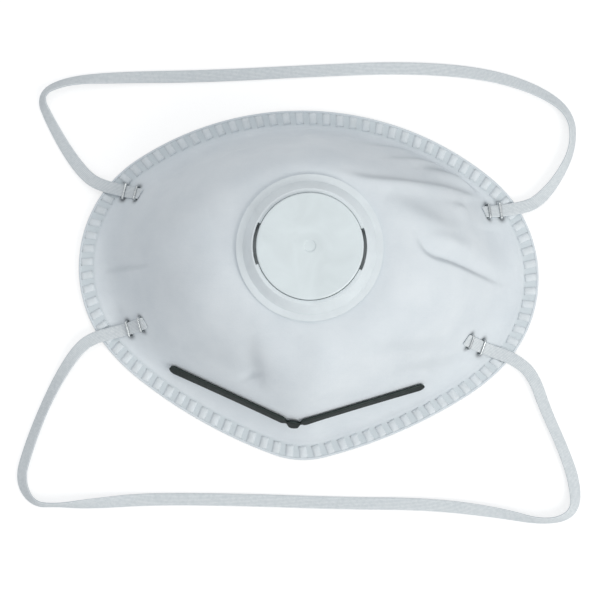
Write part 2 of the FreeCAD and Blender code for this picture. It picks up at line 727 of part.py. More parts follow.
# Cover: round cap with a dimple, a stop post over the diaphragm and two windows in its skirt.
cover = new_body("valve_cover")
cap = revolve(cover, "cap", [
    ("", "stop_bottom"),
    ("stop_radius", "stop_bottom"),
    ("stop_radius", "cap_under"),
    ("cap_inner_radius", "cap_under"),
    ("cap_inner_radius", "valve_flange_wall"),
    ("cap_radius", "valve_flange_wall"),
    ("cap_radius", "cap_rise"),
    ("dimple_radius", "cap_rise"),
    ("dimple_floor_radius", "dimple_floor"),
    ("", "dimple_floor"),
])
dress(cover, "Fillet", "cap_edge", cap, "cap_radius", "cap_rise", "cap_edge_round")
side_openings(cover, "window", [
    ("window_inner_radius", "valve_flange_wall"),
    ("window_outer_radius", "valve_flange_wall"),
    ("window_outer_radius", "window_top"),
    ("window_inner_radius", "window_top"),
], "window_angle")
parts.append(cover)

# Clamp ring: snapped on the barrel from inside, it holds the layers against the flange.
clamp = new_body("valve_clamp_ring")
ring = revolve(clamp, "ring", [
    ("clamp_bore_radius", "clamp_bottom"),
    ("clamp_radius", "clamp_bottom"),
    ("clamp_radius", "clamp_top"),
    ("clamp_bore_radius", "clamp_top"),
])
dress(clamp, "Chamfer", "ring_edge", ring, "clamp_radius", "clamp_bottom", "clamp_chamfer")
parts.append(clamp)


# ---------------------------------------------------------------- straps
LARGE = 400


def strap_tab(end, side):
    """Fixed end of a strap: over the cup and the rim, cut off at the split plane."""
    sign = -1 if side == "left" else 1
    inner_end = end["staples"][1] + end["inward"] * size("tab_tail")
    outer_end = end["exit"] - end["inward"] * (2 * size("strap_width"))
    steps = 12
    path = []
    for step in range(steps + 1):
        place = inner_end + (outer_end - inner_end) * (step / steps)
        path.append((place.x, place.y))
    lift = size("glue_line") + size("strap_wall") / 2
    strip = strip_on_cup(path, size("strap_width"), size("strap_wall"), lift)
    edge = end["split"][0] - size("strap_split") / 2
    low, high = sorted((sign * edge, sign * (edge - LARGE)))
    kept = strip.common(box_between(Vector(low, -LARGE, -LARGE), Vector(high, LARGE, LARGE)))
    return kept.Solids[0]


def rounded_route(points):
    """Straight runs joined by tangent arcs, each as large as its two runs allow, and their radii."""
    edges = []
    radii = []
    start = points[0]
    for before, corner, after in zip(points, points[1:], points[2:]):
        back = before - corner
        ahead = after - corner
        tangent = 0.45 * min(back.Length, ahead.Length)
        half_turn = (math.pi - back.getAngle(ahead)) / 2
        radius = tangent / math.tan(half_turn)
        radii.append(round(radius, 1))
        back.normalize()
        ahead.normalize()
        enter = corner + back * tangent
        leave = corner + ahead * tangent
        inside = (back + ahead).normalize()
        apex = corner + inside * (radius / math.cos(half_turn) - radius)
        edges += [Part.LineSegment(start, enter).toShape(), Part.Arc(enter, apex, leave).toShape()]
        start = leave
    edges.append(Part.LineSegment(start, points[-1]).toShape())
    return Part.Wire(edges), radii


def strap_loop(route, split_x):
    """Flat elastic swept along its route and cut off at both split planes."""
    wire, radii = rounded_route(route)
    start = route[0]
    heading = (route[1] - start).normalize()
    across = UP.cross(heading).normalize() * (size("strap_width") / 2)
    up = heading.cross(across).normalize() * (size("strap_wall") / 2)
    corners = [start + across + up, start - across + up, start - across - up, start + across - up]
    sweep = Part.BRepOffsetAPI.MakePipeShell(wire)
    sweep.setBiNormalMode(UP)
    sweep.add(Part.makePolygon(corners + corners[:1]))
    sweep.build()
    sweep.makeSolid()
    solid = sweep.shape()
    if solid.Volume < 0:
        solid.reverse()
    expected = wire.Length * size("strap_width") * size("strap_wall")
    print("strap length %.1f mm, volume ratio %.4f, radii %s" % (wire.Length, solid.Volume / expected, radii))
    edge = split_x + size("strap_split") / 2
    slabs = []
    for sign, y in ((-1, route[0].y), (1, route[-1].y)):
        low, high = sorted((sign * edge, 0))
        slabs.append(box_between(Vector(low, y - END_REACH, -LARGE), Vector(high, y + END_REACH, LARGE)))
    return solid.cut(slabs).Solids[0]


# Routes of the two free loops from left to right: straight runs over the ground, with the height
# given as a share from the ground, 0, to the top of the rim, 1. The ends lie just inside the split.
END_REACH = 6
UPPER_ROUTE = [
    (-67.0, 27.2, 1), (-76.5, 32.1, 0.9), (-83.5, 40.0, 0.5), (-90.3, 50.5, 0), (-95.3, 60.2, 0),
    (-86.0, 65.5, 0), (-68.0, 67.6, 0), (-38.0, 69.6, 0), (-3.0, 73.3, 0), (30.0, 76.3, 0),
    (57.0, 75.6, 0), (75.5, 70.6, 0), (86.6, 63.2, 0), (87.4, 51.5, 0), (82.3, 40.3, 0.5),
    (76.5, 32.1, 0.9), (67.0, 27.2, 1),
]
LOWER_ROUTE = [
    (-67.9, -18.6, 1), (-76.2, -25.2, 0.9), (-82.2, -35.0, 0.5), (-87.3, -47.0, 0), (-91.3, -59.5, 0),
    (-94.0, -71.0, 0), (-88.5, -79.6, 0), (-74.0, -78.6, 0), (-50.0, -75.2, 0), (-18.0, -73.9, 0),
    (15.0, -73.3, 0), (45.0, -72.0, 0), (68.0, -73.6, 0), (84.5, -76.4, 0), (94.2, -72.6, 0),
    (93.6, -62.0, 0), (88.6, -50.0, 0), (82.6, -38.5, 0.5), (77.6, -26.3, 0.9), (67.9, -18.6, 1),
]
for strap, plan in (("upper", UPPER_ROUTE), ("lower", LOWER_ROUTE)):
    for side, _ in SIDES:
        parts.append(feature("%s_strap_tab_%s" % (strap, side), strap_tab(ENDS[strap, side], side)))
    ground = size("strap_wall") / 2
    top = size("stack_wall") + size("glue_line") + ground
    route = [Vector(x, y, ground + (top - ground) * share) for x, y, share in plan]
    split_x, split_y = ENDS[strap, "right"]["split"]
    parts.append(feature(strap + "_strap_loop", strap_loop(route, split_x)))
    print("%s hinge at y %.2f, z %.2f, split at x %.2f" % (strap, split_y, top, split_x))


# ---------------------------------------------------------------- checks and files
doc.recompute()
for item in doc.Objects:
    if "Invalid" in item.State or "Error" in item.State:
        raise RuntimeError(item.Label + " failed")
os.makedirs("parts", exist_ok=True)
for part in parts:
    if part.Shape.isNull() or not part.Shape.isValid() or not part.Shape.Solids:
        raise RuntimeError(part.Label + " has no valid shape")
for part in parts:
    part.Shape.exportStep("parts/%s.step" % part.Label)
print(len(parts), "parts")
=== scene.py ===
import math

import bmesh
import bpy
import numpy as np
from bpy.props import FloatProperty, IntProperty, PointerProperty, StringProperty
from mathutils import Matrix, Vector


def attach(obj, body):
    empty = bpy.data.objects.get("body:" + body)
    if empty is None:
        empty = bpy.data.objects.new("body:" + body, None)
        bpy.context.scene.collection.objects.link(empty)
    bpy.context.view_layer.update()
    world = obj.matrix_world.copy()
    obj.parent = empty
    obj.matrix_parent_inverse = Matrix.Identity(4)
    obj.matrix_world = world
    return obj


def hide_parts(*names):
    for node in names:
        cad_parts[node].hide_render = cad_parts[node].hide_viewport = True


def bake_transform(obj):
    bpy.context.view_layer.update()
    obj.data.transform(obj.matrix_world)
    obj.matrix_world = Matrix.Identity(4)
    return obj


# Dresses the packed dust mask: moulded nonwoven cup with its welded rim, exhalation valve, nose
# clip, nose foam, staples and elastic head straps, and a plain studio. All lengths are in metres
# in the frame of the packed solids: +Z out of the mask's front, the nose towards -Y.
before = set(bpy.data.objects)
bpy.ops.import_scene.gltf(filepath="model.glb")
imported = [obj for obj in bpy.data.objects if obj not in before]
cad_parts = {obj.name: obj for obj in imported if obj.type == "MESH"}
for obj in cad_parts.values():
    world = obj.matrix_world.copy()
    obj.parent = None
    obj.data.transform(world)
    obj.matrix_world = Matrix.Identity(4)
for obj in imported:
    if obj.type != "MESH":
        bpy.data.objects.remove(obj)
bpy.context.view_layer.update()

bl_info = {
    "name": "Dust Mask Dressing",
    "version": (1, 0, 0),
    "blender": (4, 5, 0),
    "location": "View3D > Sidebar > Dust Mask",
    "description": "Builds the visible pieces of a valved, moulded dust mask round its solids",
    "category": "Object",
}

MM = 0.001
UP = Vector((0.0, 0.0, 1.0))
ROOT = "mask"
# Neighbouring layers and the floor keep this far apart, so that no two surfaces share a place.
LAYER_GAP = 0.00002
FLOOR_GAP = 0.0002
# How deep the legs of a staple draw the cover in.
LEG_DIMPLE = 0.6 * MM
# Distance between a strap's rings of points, and the length of its thinned end.
RIBBON_STEP = 0.0006
PRESSED_END = 0.0016
# The relief stays this many mm clear of the clip's and the straps' middle lines, then fades in.
CLIP_CLEAR = 3.6
STRAP_CLEAR = 3.4
FADE = 3.5
# Clear ground past a strap's inner staple, and under the edge of an elastic that leans.
PAST_STAPLE = 0.0035
EDGE_CLEAR = 0.0003
# Rows of points on the slope and the platform, for the cover's face and for every other surface.
FINE_ROWS = (104, 5)
PLAIN_ROWS = (44, 2)
# Width of the camera's sensor in its own millimetres.
SENSOR = 36


# ---------------------------------------------------------------- properties
def length(name, description, millimetres):
    """A length property with its default in millimetres."""
    return FloatProperty(name=name, description=description, default=millimetres * MM,
                         unit="LENGTH", precision=5, soft_min=0.0)


def angle(name, description, degrees):
    """An angle property with its default in degrees."""
    return FloatProperty(name=name, description=description, default=math.radians(degrees),
                         subtype="ANGLE", precision=3)


def colour(name, description, hexadecimal):
    """A colour property kept as an sRGB hex value."""
    return StringProperty(name=name, description=description, default=hexadecimal, maxlen=7)


class CupProperties(bpy.types.PropertyGroup):
    """Sizes of the moulded cup."""
    nose_tip_radius: length("Nose Tip Radius", "Round of the rim at the nose tip", 29)
    nose_tip_turn: angle("Nose Tip Turn", "Turn of the nose tip each side of the middle", 17.2)
    nose_flank_radius: length("Nose Flank Radius", "Nearly straight flank beside the nose", 167)
    nose_flank_turn: angle("Nose Flank Turn", "Turn of the flank", 18)
    cheek_radius: length("Cheek Radius", "Round between flank and side", 70)
    cheek_turn: angle("Cheek Turn", "Turn of the cheek", 12)
    side_radius: length("Side Radius", "Round of the sides", 43.9)
    side_turn: angle("Side Turn", "Turn of the side", 96.3)
    flange_width: length("Flange Width", "Flat welded flange round the rim", 5.8)
    cup_height: length("Cup Height", "Floor to the top of the valve platform", 42)
    platform_radius: length("Platform Radius", "Flat platform under the valve", 25)
    valve_offset: length("Valve Offset", "Valve axis from the middle, towards the chin", 9)
    valve_hole_radius: length("Valve Hole Radius", "Hole through the layers", 15.15)
    foot_reach: FloatProperty(name="Foot Reach", default=0.25, min=0.0, max=1.0,
                              description="Share of the slope that flares out of the flange")
    crown_reach: FloatProperty(name="Crown Reach", default=0.42, min=0.0, max=1.0,
                               description="Share of the slope where it turns in to the platform")
    layer_lean: FloatProperty(name="Layer Lean", default=0.6, min=0.0, max=1.0,
                              description="Inward shift of a deeper surface, as a share of its depth")
    cover_wall: length("Cover Wall", "Spunbond outer cover", 0.5)
    filter_wall: length("Filter Wall", "Meltblown filter layer", 0.6)
    shell_wall: length("Shell Wall", "Needle-felt support shell", 1.0)
    relief: FloatProperty(name="Relief", default=1.5, min=0.0, max=3.0,
                          description="Strength of the creases and dents in the cup")
    columns: IntProperty(name="Columns", default=560, min=60, max=1200,
                         description="Mesh columns round the rim")


class WeldProperties(bpy.types.PropertyGroup):
    """Sizes of the ultrasonic weld pattern on the rim."""
    count: IntProperty(name="Bar Count", description="Raised bars round the rim", default=90, min=4)
    bar_width: length("Bar Width", "One raised bar, along the rim", 2.65)
    bar_length: length("Bar Length", "One raised bar, across the rim", 4.1)
    bar_rise: length("Bar Rise", "Raised bar above the pressed film", 0.5)
    press: length("Press", "Pressed film below the loose cover", 0.25)
    edge: length("Plain Edge", "Sealed edge outside the bars", 0.7)
    slant: angle("Bar Slant", "Turn of each bar from square to the rim", 7)


class NoseProperties(bpy.types.PropertyGroup):
    """Sizes of the nose clip and its foam."""
    clip_half_span: length("Clip Half Span", "Middle to the tip of the clip", 42.6)
    clip_bend_from_rim: length("Clip Bend From Rim", "Nose tip of the rim to the bend", 12.2)
    clip_advance: length("Clip Advance", "Bend to tips, towards the chin", 16.2)
    clip_bend_round: length("Clip Bend Round", "Half length of the rounded bend", 3.5)
    clip_shift: length("Clip Shift", "Clip's bend beside the mask's middle", -2.1)
    clip_turn: angle("Clip Turn", "Turn of the clip on the nose", -1.1)
    clip_width: length("Clip Width", "Width of the strip", 4.0)
    clip_wall: length("Clip Wall", "Thickness of the strip", 0.9)
    pad_half_span: length("Foam Half Span", "Middle to the end of the foam", 38)
    pad_bend_round: length("Foam Bend Round", "Half length of the foam's bend", 10)
    pad_width: length("Foam Width", "Width of the foam", 8)
    pad_wall: length("Foam Wall", "Thickness of the foam", 3.5)
    glue_line: length("Glue Line", "Between a strip and the cup", 0.45)


class StrapProperties(bpy.types.PropertyGroup):
    """Sizes of the elastic straps and their staples."""
    width: length("Strap Width", "Width of the elastic", 4.2)
    wall: length("Strap Wall", "Thickness of the elastic", 0.7)
    cords: IntProperty(name="Rubber Cords", default=9, min=1, max=20,
                       description="Rubber cords that run along the elastic")
    wire: length("Staple Wire", "Thickness of the staples' rolled wire", 0.6)
    half_crown: length("Staple Half Crown", "Middle to the outside of a leg", 3.0)
    flat: FloatProperty(name="Wire Flatness", default=1.5, min=1.0, max=3.0,
                        description="Width of the rolled wire over its thickness")
    clinch: length("Clinch", "Bent end of a leg", 1.9)
    bend: length("Staple Bend", "Round of the wire's bends", 0.55)
    bed: length("Strap Bed", "Between the cup and a stapled end", 0.23)
    staple_pitch: length("Staple Pitch", "Between the two staples of an end", 4.6)
    upper_exit_y: length("Upper Exit", "Upper strap crosses the rim, from the middle", 29.6)
    upper_slant: angle("Upper Slant", "Upper ends' rise towards the rim", 10)
    upper_from_rim: length("Upper Staple", "Rim to the outer staple", 6.2)
    lower_exit_y: length("Lower Exit", "Lower strap crosses the rim, from the middle", -21.3)
    lower_slant: angle("Lower Slant", "Lower ends' rise towards the rim", -17)
    lower_from_rim: length("Lower Staple", "Rim to the outer staple", 10.8)


class ColourProperties(bpy.types.PropertyGroup):
    """Colours of the pieces, as sRGB hex values."""
    cover: colour("Cover", "Spunbond outer cover", "#E2E8EC")
    film: colour("Welded Film", "Pressed film between the weld bars", "#CED7DB")
    felt: colour("Felt", "Needle felt inside the cup", "#E9E9E4")
    meltblown: colour("Meltblown", "Filter layer", "#F0F2F2")
    cap: colour("Valve Cover", "Moulded valve cover", "#E3ECEE")
    seat: colour("Valve Base", "Moulded valve base", "#E4EBEE")
    silicone: colour("Diaphragm", "Silicone diaphragm", "#D9D6CC")
    # The clip's dark colour is a painted reflection of dark surroundings.
    clip: colour("Nose Clip", "Dark anodised strip", "#121B1A")
    foam: colour("Nose Foam", "Foam strip inside", "#4A4E52")
    wire: colour("Staple Wire", "Zinc-plated wire", "#C4C8CA")
    strap: colour("Strap", "Elastic webbing", "#E6EAEC")


class StudioProperties(bpy.types.PropertyGroup):
    """Camera and lamps."""
    distance: FloatProperty(name="Camera Distance", description="Camera to the object",
                            default=0.95, unit="LENGTH")
    frame_width: FloatProperty(name="Frame Width", description="Width seen at the rim's plane",
                               default=0.204, unit="LENGTH", precision=4)
    elevation: angle("Camera Elevation", "Above the rim's plane, on the nose side", 86)
    roll: angle("Camera Roll", "Turn of the camera about its view line", 3)
    aim_x: FloatProperty(name="Aim X", description="Where the camera looks", default=-0.00245,
                         unit="LENGTH", precision=5)
    aim_y: FloatProperty(name="Aim Y", description="Where the camera looks", default=-0.00523,
                         unit="LENGTH", precision=5)
    key_power: FloatProperty(name="Key Power", description="Soft lamp at the lower right, in watts",
                             default=4.3, min=0.0)
    fill_power: FloatProperty(name="Fill Power", description="Soft lamp overhead, in watts",
                              default=2.0, min=0.0)
    room: FloatProperty(name="Room Light", description="Strength of the even light from all round",
                        default=0.55, min=0.0)


# ---------------------------------------------------------------- small helpers
def linear(hexadecimal):
    """An sRGB hex value as linear RGBA."""
    channels = [int(hexadecimal[i:i + 2], 16) / 255 for i in (1, 3, 5)]
    curve = [c / 12.92 if c <= 0.04045 else ((c + 0.055) / 1.055) ** 2.4 for c in channels]
    return (*curve, 1.0)


def add_node(tree, kind, settings=None, inputs=None):
    """Add a node to a tree, with its settings, and its inputs set or linked."""
    node = tree.nodes.new(kind)
    for name, value in (settings or {}).items():
        setattr(node, name, value)
    for name, value in (inputs or {}).items():
        if isinstance(value, bpy.types.NodeSocket):
            tree.links.new(value, node.inputs[name])
        else:
            node.inputs[name].default_value = value
    return node


def new_material(name):
    """An empty node material and its tree."""
    made = bpy.data.materials.new(name)
    made.use_nodes = True
    made.node_tree.nodes.clear()
    return made, made.node_tree


def finish_material(tree, shader):
    """Link a shader to the output of its material."""
    add_node(tree, "ShaderNodeOutputMaterial", {}, {"Surface": shader.outputs[0]})


def principled(made, tree, inputs):
    """Finish a material with one Principled shader that has these inputs."""
    finish_material(tree, add_node(tree, "ShaderNodeBsdfPrincipled", {}, inputs))
    return made


def ramp(tree, factor, stops):
    """A colour ramp from (position, colour) stops."""
    node = add_node(tree, "ShaderNodeValToRGB", {}, {"Fac": factor})
    elements = node.color_ramp.elements
    while len(elements) < len(stops):
        elements.new(0.5)
    for element, (position, shade) in zip(elements, stops):
        element.position = position
        element.color = shade
    return node


def two_tones(tree, factor, low, dark, high, light):
    """Colour that goes from one hex value at low to another at high."""
    return ramp(tree, factor, [(low, linear(dark)), (high, linear(light))]).outputs[0]


def grid_mesh(name, rows, closed_rows=False):
    """Mesh of quads from points [row, column, xyz] whose columns close round."""
    row_count, column_count, _ = rows.shape
    faces = []
    last_row = row_count if closed_rows else row_count - 1
    for row in range(last_row):
        here = row * column_count
        there = (row + 1) % row_count * column_count
        for column in range(column_count):
            beside = (column + 1) % column_count
            faces.append((here + column, here + beside, there + beside, there + column))
    mesh = bpy.data.meshes.new(name)
    mesh.from_pydata(rows.reshape(-1, 3).tolist(), [], faces)
    mesh.update()
    return mesh


def new_object(name, mesh, material=None):
    """Object at the origin with this mesh and material."""
    item = bpy.data.objects.new(name, mesh)
    bpy.context.scene.collection.objects.link(item)
    if material:
        mesh.materials.append(material)
    return item


def smooth(mesh, sharp_degrees):
    """Smooth shading, with edges over an angle kept sharp."""
    mesh.shade_smooth()
    mesh.set_sharp_from_angle(angle=math.radians(sharp_degrees))


def frozen(item):
    """Replace an object's mesh by its evaluated mesh, and drop the modifiers."""
    evaluated = item.evaluated_get(bpy.context.evaluated_depsgraph_get())
    plain = bpy.data.meshes.new_from_object(evaluated)
    item.modifiers.clear()
    item.data = plain
    return item


def point_value(mesh, name, values):
    """Store one number for each point of a mesh."""
    made = mesh.attributes.new(name, "FLOAT", "POINT")
    made.data.foreach_set("value", np.asarray(values, np.float32))


def seat(item, slot, *nodes):
    """Let a piece ride on the mask and stand for its solids; the slot is not used."""
    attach(item, ROOT)
    if nodes:
        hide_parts(*nodes)


def units(vectors):
    """Rows of vectors, each of length 1."""
    return vectors / np.linalg.norm(vectors, axis=1, keepdims=True)


def walk(line):
    """Distance walked along a line of points, at each point."""
    return np.concatenate([[0], np.cumsum(np.linalg.norm(np.diff(line, axis=0), axis=1))])


def line_frames(line, looks):
    """Directions across a line and out of its face, at each point."""
    ahead = units(np.gradient(line, axis=0))
    across = units(np.cross(looks, ahead))
    return across, np.cross(ahead, across)


def capped_tube(name, rows):
    """Mesh of rings of points whose first and last ring are closed by a face."""
    mesh = grid_mesh(name, rows)
    around = rows.shape[1]
    work = bmesh.new()
    work.from_mesh(mesh)
    work.verts.ensure_lookup_table()
    for first in (0, len(work.verts) - around):
        work.faces.new([work.verts[first + i] for i in range(around)])
    bmesh.ops.recalc_face_normals(work, faces=work.faces)
    work.to_mesh(mesh)
    work.free()
    return mesh


# ---------------------------------------------------------------- the cup's surface
def bezier(start, leave, arrive, end, t):
    """One coordinate of a cubic Bezier curve."""
    back = 1 - t
    return start * back**3 + 3 * leave * back**2 * t + 3 * arrive * back * t**2 + end * t**3


class Cup:
    """Moulded cup: tangent arcs round the rim, blended level by level into a round platform."""

    def __init__(self, sizes):
        self.sizes = sizes
        names = ("nose_tip", "nose_flank", "cheek", "side")
        radii = [getattr(sizes, name + "_radius") for name in names]
        heads = [0.0]
        for name in names:
            heads.append(heads[-1] + getattr(sizes, name + "_turn"))
        reach = sum(r * (math.sin(b) - math.sin(a)) for r, a, b in zip(radii, heads, heads[1:]))
        radii.append(reach / math.sin(heads[-1]))
        centres = [(0.0, radii[0])]
        for index in range(1, 5):
            step = radii[index - 1] - radii[index]
            x, y = centres[-1]
            centres.append((x + step * math.sin(heads[index]), y - step * math.cos(heads[index])))
        middle = (centres[-1][1] + radii[-1]) / 2
        centres = [(x, y - middle) for x, y in centres]
        turn = 2 * math.pi
        arcs = [(*centres[0], radii[0], -heads[1], heads[1])]
        arcs += [(*centres[i], radii[i], heads[i], heads[i + 1]) for i in (1, 2, 3)]
        arcs.append((*centres[4], radii[4], heads[4], turn - heads[4]))
        arcs += [(-x, y, r, turn - b, turn - a) for x, y, r, a, b in arcs[3:0:-1]]
        self.arcs = np.array(arcs)
        self.stack = sizes.cover_wall + sizes.filter_wall + sizes.shell_wall
        self.start = arcs[0][3]

    def along_rim(self, inset, count, shift=0.0):
        """Arc numbers and headings of evenly spaced places along the rim, moved inwards."""
        lengths = (self.arcs[:, 2] - inset) * (self.arcs[:, 4] - self.arcs[:, 3])
        ends = np.cumsum(lengths)
        along = (np.arange(count) + shift) / count * ends[-1]
        number = np.minimum(np.searchsorted(ends, along, side="right"), len(lengths) - 1)
        left = along - (ends[number] - lengths[number])
        return number, self.arcs[number, 3] + left / (self.arcs[number, 2] - inset)

    def rim_x(self, y):
        """Half width of the rim at this y."""
        for centre_x, centre_y, radius, first, last in self.arcs[:5]:
            share = (centre_y - y) / radius
            if abs(share) <= 1 and first <= math.acos(share) <= last:
                return centre_x + radius * math.sin(math.acos(share))
        raise ValueError("the rim doesn't reach %.4f" % y)

    def flange(self, number, heading, inset, z):
        """Points on the flange, inset from the rim."""
        x, y, radius = self.arcs[number, 0], self.arcs[number, 1], self.arcs[number, 2] - inset
        flat = [x + radius * np.sin(heading), y - radius * np.cos(heading)]
        return np.stack([*flat, np.full_like(flat[0], z)], axis=-1)

    def slope(self, number, heading, t, depth):
        """Points of the slope: t is 0 at its foot and 1 at the platform."""
        sizes = self.sizes
        share = bezier(0, sizes.foot_reach, sizes.crown_reach, 1, t)
        lean = sizes.layer_lean * depth
        x = self.arcs[number, 0] * (1 - share)
        y = self.arcs[number, 1] * (1 - share) + sizes.valve_offset * share
        inner = self.arcs[number, 2] - sizes.flange_width - lean
        radius = inner * (1 - share) + (sizes.platform_radius - lean) * share
        rise = bezier(0, 0, 1, 1, t)
        z = self.stack + (sizes.cup_height - self.stack) * rise - depth + 0 * radius
        return np.stack([x + radius * np.sin(heading), y - radius * np.cos(heading), z], axis=-1)

    def crossing(self, x, y, t):
        """Distance from the valve axis to a level on the ray through x, y: arc number and heading."""
        sizes = self.sizes
        away = math.hypot(x, y - sizes.valve_offset)
        run_x, run_y = x / away, (y - sizes.valve_offset) / away
        share = bezier(0, sizes.foot_reach, sizes.crown_reach, 1, t)
        for number, (arc_x, arc_y, arc_radius, first, last) in enumerate(self.arcs):
            centre_x = arc_x * (1 - share)
            below = (sizes.valve_offset - arc_y) * (1 - share)
            radius = (arc_radius - sizes.flange_width) * (1 - share) + sizes.platform_radius * share
            half = run_y * below - run_x * centre_x
            square = half**2 - centre_x**2 - below**2 + radius**2
            if square < 0:
                continue
            distance = math.sqrt(square) - half
            turned = math.atan2(distance * run_x - centre_x, -distance * run_y - below)
            heading = (turned - self.start) % (2 * math.pi) + self.start
            if first - 1e-9 <= heading <= last + 1e-9:
                return distance, number, heading
        raise ValueError("no level at %.4f, %.4f" % (x, y))

    def place(self, x, y):
        """Point and outward normal of the outer surface over x and y."""
        away = math.hypot(x, y - self.sizes.valve_offset)
        if away >= self.crossing(x, y, 0.0)[0]:
            return Vector((x, y, self.stack)), UP.copy()
        low, high = 0.0, 0.999
        for _ in range(26):
            t = (low + high) / 2
            distance, number, heading = self.crossing(x, y, t)
            if distance > away:
                low = t
            else:
                high = t
        number = np.array([number])
        step = 1e-3
        here = self.slope(number, np.array([heading]), t, 0.0)[0]
        beside = self.slope(number, np.array([heading + step]), t, 0.0)[0]
        above = self.slope(number, np.array([heading]), t + step, 0.0)[0]
        normal = Vector(np.cross(beside - here, above - here)).normalized()
        return Vector(here), normal


# Folds of the cover as (points in mm, steep half width, gentle half width, height). The steep side
# is on the right as one goes along the points. A height below 0 is a valley.
FOLDS = [
    ([(41, 46.2), (28, 47.2), (14, 46.6)], 1.6, 3.2, 0.7),
    ([(48.5, 41.2), (37, 42.4), (24, 41.0)], 1.2, 3.0, 1.15),
    ([(59, 35.0), (48, 38.2), (35.5, 38.4)], 1.3, 3.2, 1.5),
    ([(60, 30.8), (44, 32.8), (24, 31.2), (6, 33.6)], 1.4, 2.8, 1.05),
    ([(62, 24.5), (55, 26.4), (46, 27.2)], 1.2, 2.4, 0.7),
    ([(50, 16.8), (41, 18.4), (31, 22.4), (23, 26.5)], 3.4, 5.4, 1.1),
    ([(34.5, 15.6), (38.8, 9.6), (47.5, 8.4), (56, 6.0), (64.5, 3.6)], 0.95, 3.0, -1.15),
    ([(54, 13.2), (45, 14.6), (37, 14.4)], 2.2, 2.0, 0.6),
    ([(-70.5, 1.4), (-63, 2.0), (-53.5, 2.6)], 0.8, 1.2, -0.5),
    ([(-33, 19.0), (-45, 13.5), (-58, 6.8)], 6.5, 9.0, 0.6),
    ([(-14, -36.6), (-27, -31.4), (-42, -25.2)], 3.2, 1.6, 0.7),
    ([(-26, -36.8), (-19, -34.0), (-12.5, -32.2)], 0.9, 1.4, -0.45),
    ([(-14.0, -19), (-12.8, -30), (-10.6, -42)], 5.0, 8.0, 0.75),
    ([(47, -19.0), (35, -21.6), (22, -23.6)], 1.8, 3.0, 0.45),
    ([(52, -23.5), (41, -26.2), (29, -29.6)], 1.4, 2.6, 0.4),
    ([(-64, -10.0), (-58, -16.5), (-50, -20.5)], 1.4, 2.8, 0.35),
]
# Broad hollows and swellings as (x, y, half length, half width, turn in degrees, depth) in mm.
DENTS = [
    (-55.0, -3.5, 12, 7, 30, 1.1),
    (-22.0, -31.5, 12, 5.0, -24, 1.0),
    (-17.0, -30.0, 4.0, 9.0, 8, 0.7),
    (5.0, -30.0, 5.5, 11.0, 4, -0.6),
    (24.0, 51.0, 20, 3.0, -8, 0.4),
    (-2.0, 47.0, 2.6, 7.0, 4, -0.35),
    (-30.0, 42.0, 20, 4.0, 14, 0.35),
    (62.0, 17.0, 7, 5.0, -70, 0.45),
    (30.0, -12.0, 14, 6.0, 55, 0.3),
]


def rounded(line):
    """Line of points with its corners cut twice, so that it bends smoothly."""
    line = np.array(line, float)
    for _ in range(2):
        near = 0.75 * line[:-1] + 0.25 * line[1:]
        far = 0.25 * line[:-1] + 0.75 * line[1:]
        cut = np.stack([near, far], axis=1).reshape(-1, 2)
        line = np.concatenate([line[:1], cut[1:-1], line[-1:]])
    return line


def distance_to_line(x, y, line):
    """Distance of places to a line of points, its sign by side, and the share along it."""
    line = np.array(line, float)
    steps = np.linalg.norm(np.diff(line, axis=0), axis=1)
    total = steps.sum()
    best = np.full(x.shape, 1e9)
    signed = np.zeros(x.shape)
    share = np.zeros(x.shape)
    walked = 0.0
    for start, end, step in zip(line, line[1:], steps):
        run = (end - start) / step
        along = (x - start[0]) * run[0] + (y - start[1]) * run[1]
        held = np.clip(along, 0, step)
        off_x = x - start[0] - held * run[0]
        off_y = y - start[1] - held * run[1]
        away = np.hypot(off_x, off_y)
        side = run[0] * off_y - run[1] * off_x
        nearer = away < best
        best = np.where(nearer, away, best)
        signed = np.where(nearer, np.sign(side) * away, signed)
        share = np.where(nearer, (walked + held) / total, share)
        walked += step
    return best, signed, share


def smoothstep(value):
    """0 below 0, 1 above 1, and smooth between."""
    value = np.clip(value, 0, 1)
    return value * value * (3 - 2 * value)


class Relief:
    """Folds, dents and ripples of the cup, kept off the pieces that are seated on it."""

    def __init__(self, cup, seats):
        self.cup = cup
        self.seats = seats

    def __call__(self, points, t):
        """Height of the relief at points [.., xyz], for slope shares t, in metres, and the painted shade
        along the folds' steep sides.
        """
        x, y = points[..., 0] / MM, points[..., 1] / MM
        height = np.zeros(x.shape)
        shade = np.zeros(x.shape)
        for line, steep, gentle, rise in FOLDS:
            _, side, share = distance_to_line(x, y, rounded(line))
            taper = np.sin(np.pi * np.clip(share, 0.02, 0.98)) ** 0.7
            height += rise * taper * np.exp(-(side / np.where(side < 0, steep, gentle)) ** 2)
            # Painted shade along the steep sides of the folds, weaker where the steep side is broad.
            flank = np.exp(-((side + 0.8 * steep) / steep) ** 2)
            narrow = min(1.0, 1.3 / steep)
            shade = np.maximum(shade, abs(rise) * taper * flank * narrow)
        for centre_x, centre_y, half_length, half_width, turn, depth in DENTS:
            cosine, sine = math.cos(math.radians(turn)), math.sin(math.radians(turn))
            along = (x - centre_x) * cosine + (y - centre_y) * sine
            across = (y - centre_y) * cosine - (x - centre_x) * sine
            height -= depth * np.exp(-(along / half_length) ** 2 - (across / half_width) ** 2)
        # Slow ripples that every moulded cup has, from felt of uneven weight.
        height += 0.16 * np.sin(x / 9.1 + 1.3) * np.sin(y / 7.3 + 0.4)
        height += 0.10 * np.sin(x / 4.7 - y / 6.1 + 2.0) + 0.05 * np.sin(x / 2.6 + y / 3.4)
        keep = smoothstep((t - 0.01) / 0.12)
        away = np.hypot(x, y - self.cup.sizes.valve_offset / MM)
        keep = keep * smoothstep((away - 25.0) / 5.0)
        for line, clear in self.seats:
            near, _, _ = distance_to_line(x, y, line)
            keep = keep * smoothstep((near - clear) / FADE)
        return height * keep * self.cup.sizes.relief * MM, np.clip(shade * keep, 0, 1)


